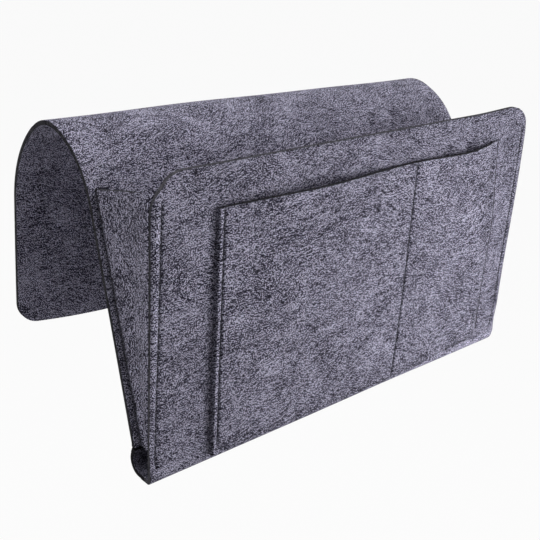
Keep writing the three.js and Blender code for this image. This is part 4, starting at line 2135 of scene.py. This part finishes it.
@dataclass
class Stitching:
    """All the seams of the organizer.

    Attributes:
        sheet: The long sheet.
        pocket: The pocket on it.
        pitch: From stitch to stitch.
        left_start: From the pocket's foot to the left edge seam's low end.
        seam_start: The same for the divider and the right edge seam.
        mouth: How far below the mouth these seams end.
        hem_end: How far in from the folds the bottom seam ends.
        hem_sink: How deep its stitches lie.
        base_run: Heights of the ends of the hidden seams at the pocket's sides.
        base_girth: How thick their stitches are.
    """

    sheet: LongSheet
    pocket: FrontPocket
    pitch: float = 3.5
    left_start: float = 8.0
    seam_start: float = 3.5
    mouth: float = 1.0
    hem_end: float = 5.0
    hem_sink: float = 0.3
    base_run: tuple[float, float] = (52.5, 156.5)
    base_girth: float = 0.8

    def on_face(
        self,
        face: Callable[[float], Vector],
        ends: tuple[float, float],
        out: Vector = FORWARD,
        sink: float = 0.0,
    ) -> list[tuple[Vector, Vector, Vector]]:
        """Sets stitches on a line of a face.

        Args:
            face: The line's point at a stop.
            ends: The stops of the line's ends.
            out: The way that the face looks.
            sink: How deep the stitches lie in the felt.

        Returns:
            Place, direction and outward way of each stitch.
        """
        found = []
        for stop in run_of(*ends, self.pitch):
            along = face(stop + 0.5) - face(stop - 0.5)
            found.append((face(stop) - out.normalized() * sink, along, out))
        return found

    def front_seam(self, side: Side) -> Seam:
        """Sews a gusset to the front panel.

        Args:
            side: The gusset's end.

        Returns:
            The seam.
        """
        band, foot = self.sheet.front_panel(), self.sheet.profile.front_foot
        ends = foot + self.sheet.seam_foot, foot + self.sheet.seam_top
        places = self.on_face(lambda along: band.place(side.value * EDGE_SEAM, along), ends)
        return Seam(f"front_{side.label}", places, Body.FRONT)

    def back_seam(self, side: Side) -> Seam:
        """Sews a gusset to the back panel, with the stitches on its rear face.

        Args:
            side: The gusset's end.

        Returns:
            The seam.
        """
        sheet, x = self.sheet, side.value * EDGE_SEAM
        path = sheet.profile.back()
        turn = math.radians(sheet.profile.lean)

        def face(along: float) -> Vector:
            """Follows the rear face's drawn-in line.

            Args:
                along: Place along the back's line.

            Returns:
                The point in the maker's frame.
            """
            depth = FELT * sheet.back_thickness(x, along) - sheet.back_relief(x, along)
            point = path.at(along).beside(depth)
            return Vector((x, point.y, point.z)) + sheet.arch_drift(x, along)

        places = self.on_face(face, sheet.back_seam, Vector((0.0, math.cos(turn), -math.sin(turn))))
        return Seam(f"back_{side.label}", places, Body.BACK)

    def pocket_seam(self, x: float, label: str) -> Seam:
        """Sews an upright seam on the pocket's face.

        Args:
            x: Place across the face.
            label: The seam's word.

        Returns:
            The seam.
        """
        pocket = self.pocket
        start = self.left_start if x < pocket.divider else self.seam_start
        places = self.on_face(lambda z: pocket.face(x, z), (pocket.foot + start, pocket.top - self.mouth))
        return Seam(f"pocket_{label}", places, Body.FRONT)

    def pocket_bottom(self) -> Seam:
        """Sews the pocket's bottom.

        Returns:
            The seam.
        """
        pocket = self.pocket
        z = pocket.foot + pocket.hem
        ends = pocket.left + self.hem_end, pocket.right - self.hem_end
        places = self.on_face(lambda x: pocket.face(x, z), ends, sink=self.hem_sink)
        return Seam("pocket_bottom", places, Body.FRONT)

    def pocket_base(self, x: float, label: str) -> Seam:
        """The hidden seam at the foot of a pocket side."""
        places = self.on_face(lambda z: Vector((x, -GAP - THREAD / 2.0, z)), self.base_run)
        return Seam(f"pocket_{label}", places, Body.FRONT, self.base_girth)

    def seams(self) -> list[Seam]:
        """Sews everything.

        Returns:
            Every seam, in sewing order.
        """
        pocket, base = self.pocket, FELT + GAP + THREAD / 2.0
        return [
            self.pocket_base(pocket.left + base, "left_base"),
            self.pocket_base(pocket.right - base, "right_base"),
            self.pocket_bottom(),
            self.pocket_seam(pocket.divider, "divider"),
            self.pocket_seam(pocket.left + pocket.left_inset, "left_edge"),
            self.pocket_seam(pocket.right - pocket.right_inset, "right_edge"),
            *(self.front_seam(side) for side in Side),
            *(self.back_seam(side) for side in Side),
        ]


# Studio


@dataclass(frozen=True)
class Lamp:
    """A soft square lamp, in metres and watts, that points at the middle of the part."""

    name: str
    place: tuple[float, float, float]
    size: float
    power: float
    target: tuple[float, float, float] = (0.0, -0.05, -0.09)

    def hang(self) -> None:
        """Hangs the lamp."""
        lamp = bpy.data.objects.new(self.name, bpy.data.lights.new(self.name, "AREA"))
        lamp.data.shape = "SQUARE"
        lamp.data.size = self.size
        lamp.data.energy = self.power
        bpy.context.scene.collection.objects.link(lamp)
        place = Vector(self.place)
        turn = (Vector(self.target) - place).to_track_quat("-Z", "Y").to_matrix().to_4x4()
        lamp.matrix_world = Matrix.Translation(place) @ turn


@dataclass(frozen=True)
class Studio:
    """White room, soft light and the camera, in metres in the part's frame."""

    floor_drop: float = 0.60
    floor_size: float = 14.0
    eye: tuple[float, float, float] = (-0.43516, -0.48773, 0.13747)
    ahead: tuple[float, float, float] = (0.62978, 0.67998, -0.37551)
    up: tuple[float, float, float] = (0.2145, 0.3124, 0.9254)
    lens: float = 63.52
    sensor: float = 36.0
    room_light: float = 0.24
    lamps: tuple[Lamp, ...] = (
        Lamp("key", (0.21, -0.43, -0.085), 0.28, 1.09),
        Lamp("overhead", (0.0, -0.15, 0.8), 0.8, 5.4),
        Lamp("side", (-0.95, 0.08, 0.2), 0.6, 1.2),
    )

    def set_up(self) -> None:
        """Builds the studio."""
        scene = bpy.context.scene
        scene.view_settings.view_transform = "Standard"
        self._camera(scene)
        self._floor()
        self._room(scene)
        for lamp in self.lamps:
            lamp.hang()

    def _camera(self, scene: bpy.types.Scene) -> None:
        """Sets the camera at the viewing angle.

        Args:
            scene: The scene.
        """
        camera = bpy.data.objects.new("camera", bpy.data.cameras.new("camera"))
        scene.collection.objects.link(camera)
        camera.data.lens = self.lens
        camera.data.sensor_width = self.sensor
        camera.data.clip_start = 0.01
        ahead = Vector(self.ahead).normalized()
        right = ahead.cross(Vector(self.up)).normalized()
        turn = Matrix((right, right.cross(ahead), -ahead)).transposed().to_4x4()
        camera.matrix_world = Matrix.Translation(Vector(self.eye)) @ turn
        scene.camera = camera

    def _floor(self) -> None:
        """Lays the pale floor below the armrest's height."""
        select_only()
        bpy.ops.mesh.primitive_plane_add(size=self.floor_size, location=(0.0, 0.0, -self.floor_drop))
        floor = bpy.context.active_object
        floor.name = "floor"
        bpy.ops.object.transform_apply(location=True, rotation=True, scale=True)
        floor.data.materials.append(PaleFinish().material())

    def _room(self, scene: bpy.types.Scene) -> None:
        """Makes a room that lights evenly and looks white.

        Args:
            scene: The scene.
        """
        recipe = Recipe(bpy.data.worlds.new("room"))
        rays = [recipe.add("ShaderNodeLightPath", output=f"Is {kind} Ray") for kind in ("Camera", "Glossy")]
        seen = recipe.add("ShaderNodeMath", {"operation": "MAXIMUM"}, dict(enumerate(rays)))
        dim, white = (
            recipe.add("ShaderNodeBackground", None, {"Color": (1.0, 1.0, 1.0, 1.0), "Strength": strength})
            for strength in (self.room_light, 1.0)
        )
        mixed = recipe.add("ShaderNodeMixShader", None, {0: seen, 1: dim, 2: white})
        scene.world = recipe.finish(mixed, "ShaderNodeOutputWorld")


# Assembly

ANCHOR = 60.0  # place along the back whose point main takes as a hinge, which nothing then uses


def report(piece: bpy.types.Object) -> None:
    """Logs a finished piece."""
    LOG.info("%s: %d faces", piece.name, len(piece.data.polygons))


def main() -> None:
    """Builds the organizer and its studio."""
    logging.basicConfig(level=logging.INFO, format="%(name)s: %(message)s")
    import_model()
    shop = Workshop.open()
    sheet, pocket = LongSheet(), FrontPocket.make()
    profile = sheet.profile
    line = profile.back()
    Studio().set_up()

    for piece in (part.build(shop) for part in (sheet.front_panel(), pocket)):
        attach(piece, Body.FRONT.value)
        report(piece)

    back, flap = sheet.back_panel().build(shop), sheet.flap().build(shop)
    for piece, parent, child, middle, length in (
        (back, Body.BACK, Body.SADDLE, profile.ridge_start, sheet.ridge_bend),
        (flap, Body.SADDLE, Body.DROP, profile.shoulder_end, sheet.shoulder_bend),
    ):
        start, end = shop.on(line, middle - length / 2.0), shop.on(line, middle + length / 2.0)
        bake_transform(piece)
        report(piece)

    hinge = shop.on(line, ANCHOR)
    folding = [sheet.bottom_fold(), *(Gusset.on(side) for side in Side)]
    for piece in (part.build(shop) for part in folding):
        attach(piece, Body.BACK.value)
        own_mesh(piece)
        report(piece)

    for seam in Stitching(sheet, pocket).seams():
        report(seam.build(shop))


if __name__ == "__main__":
    main()
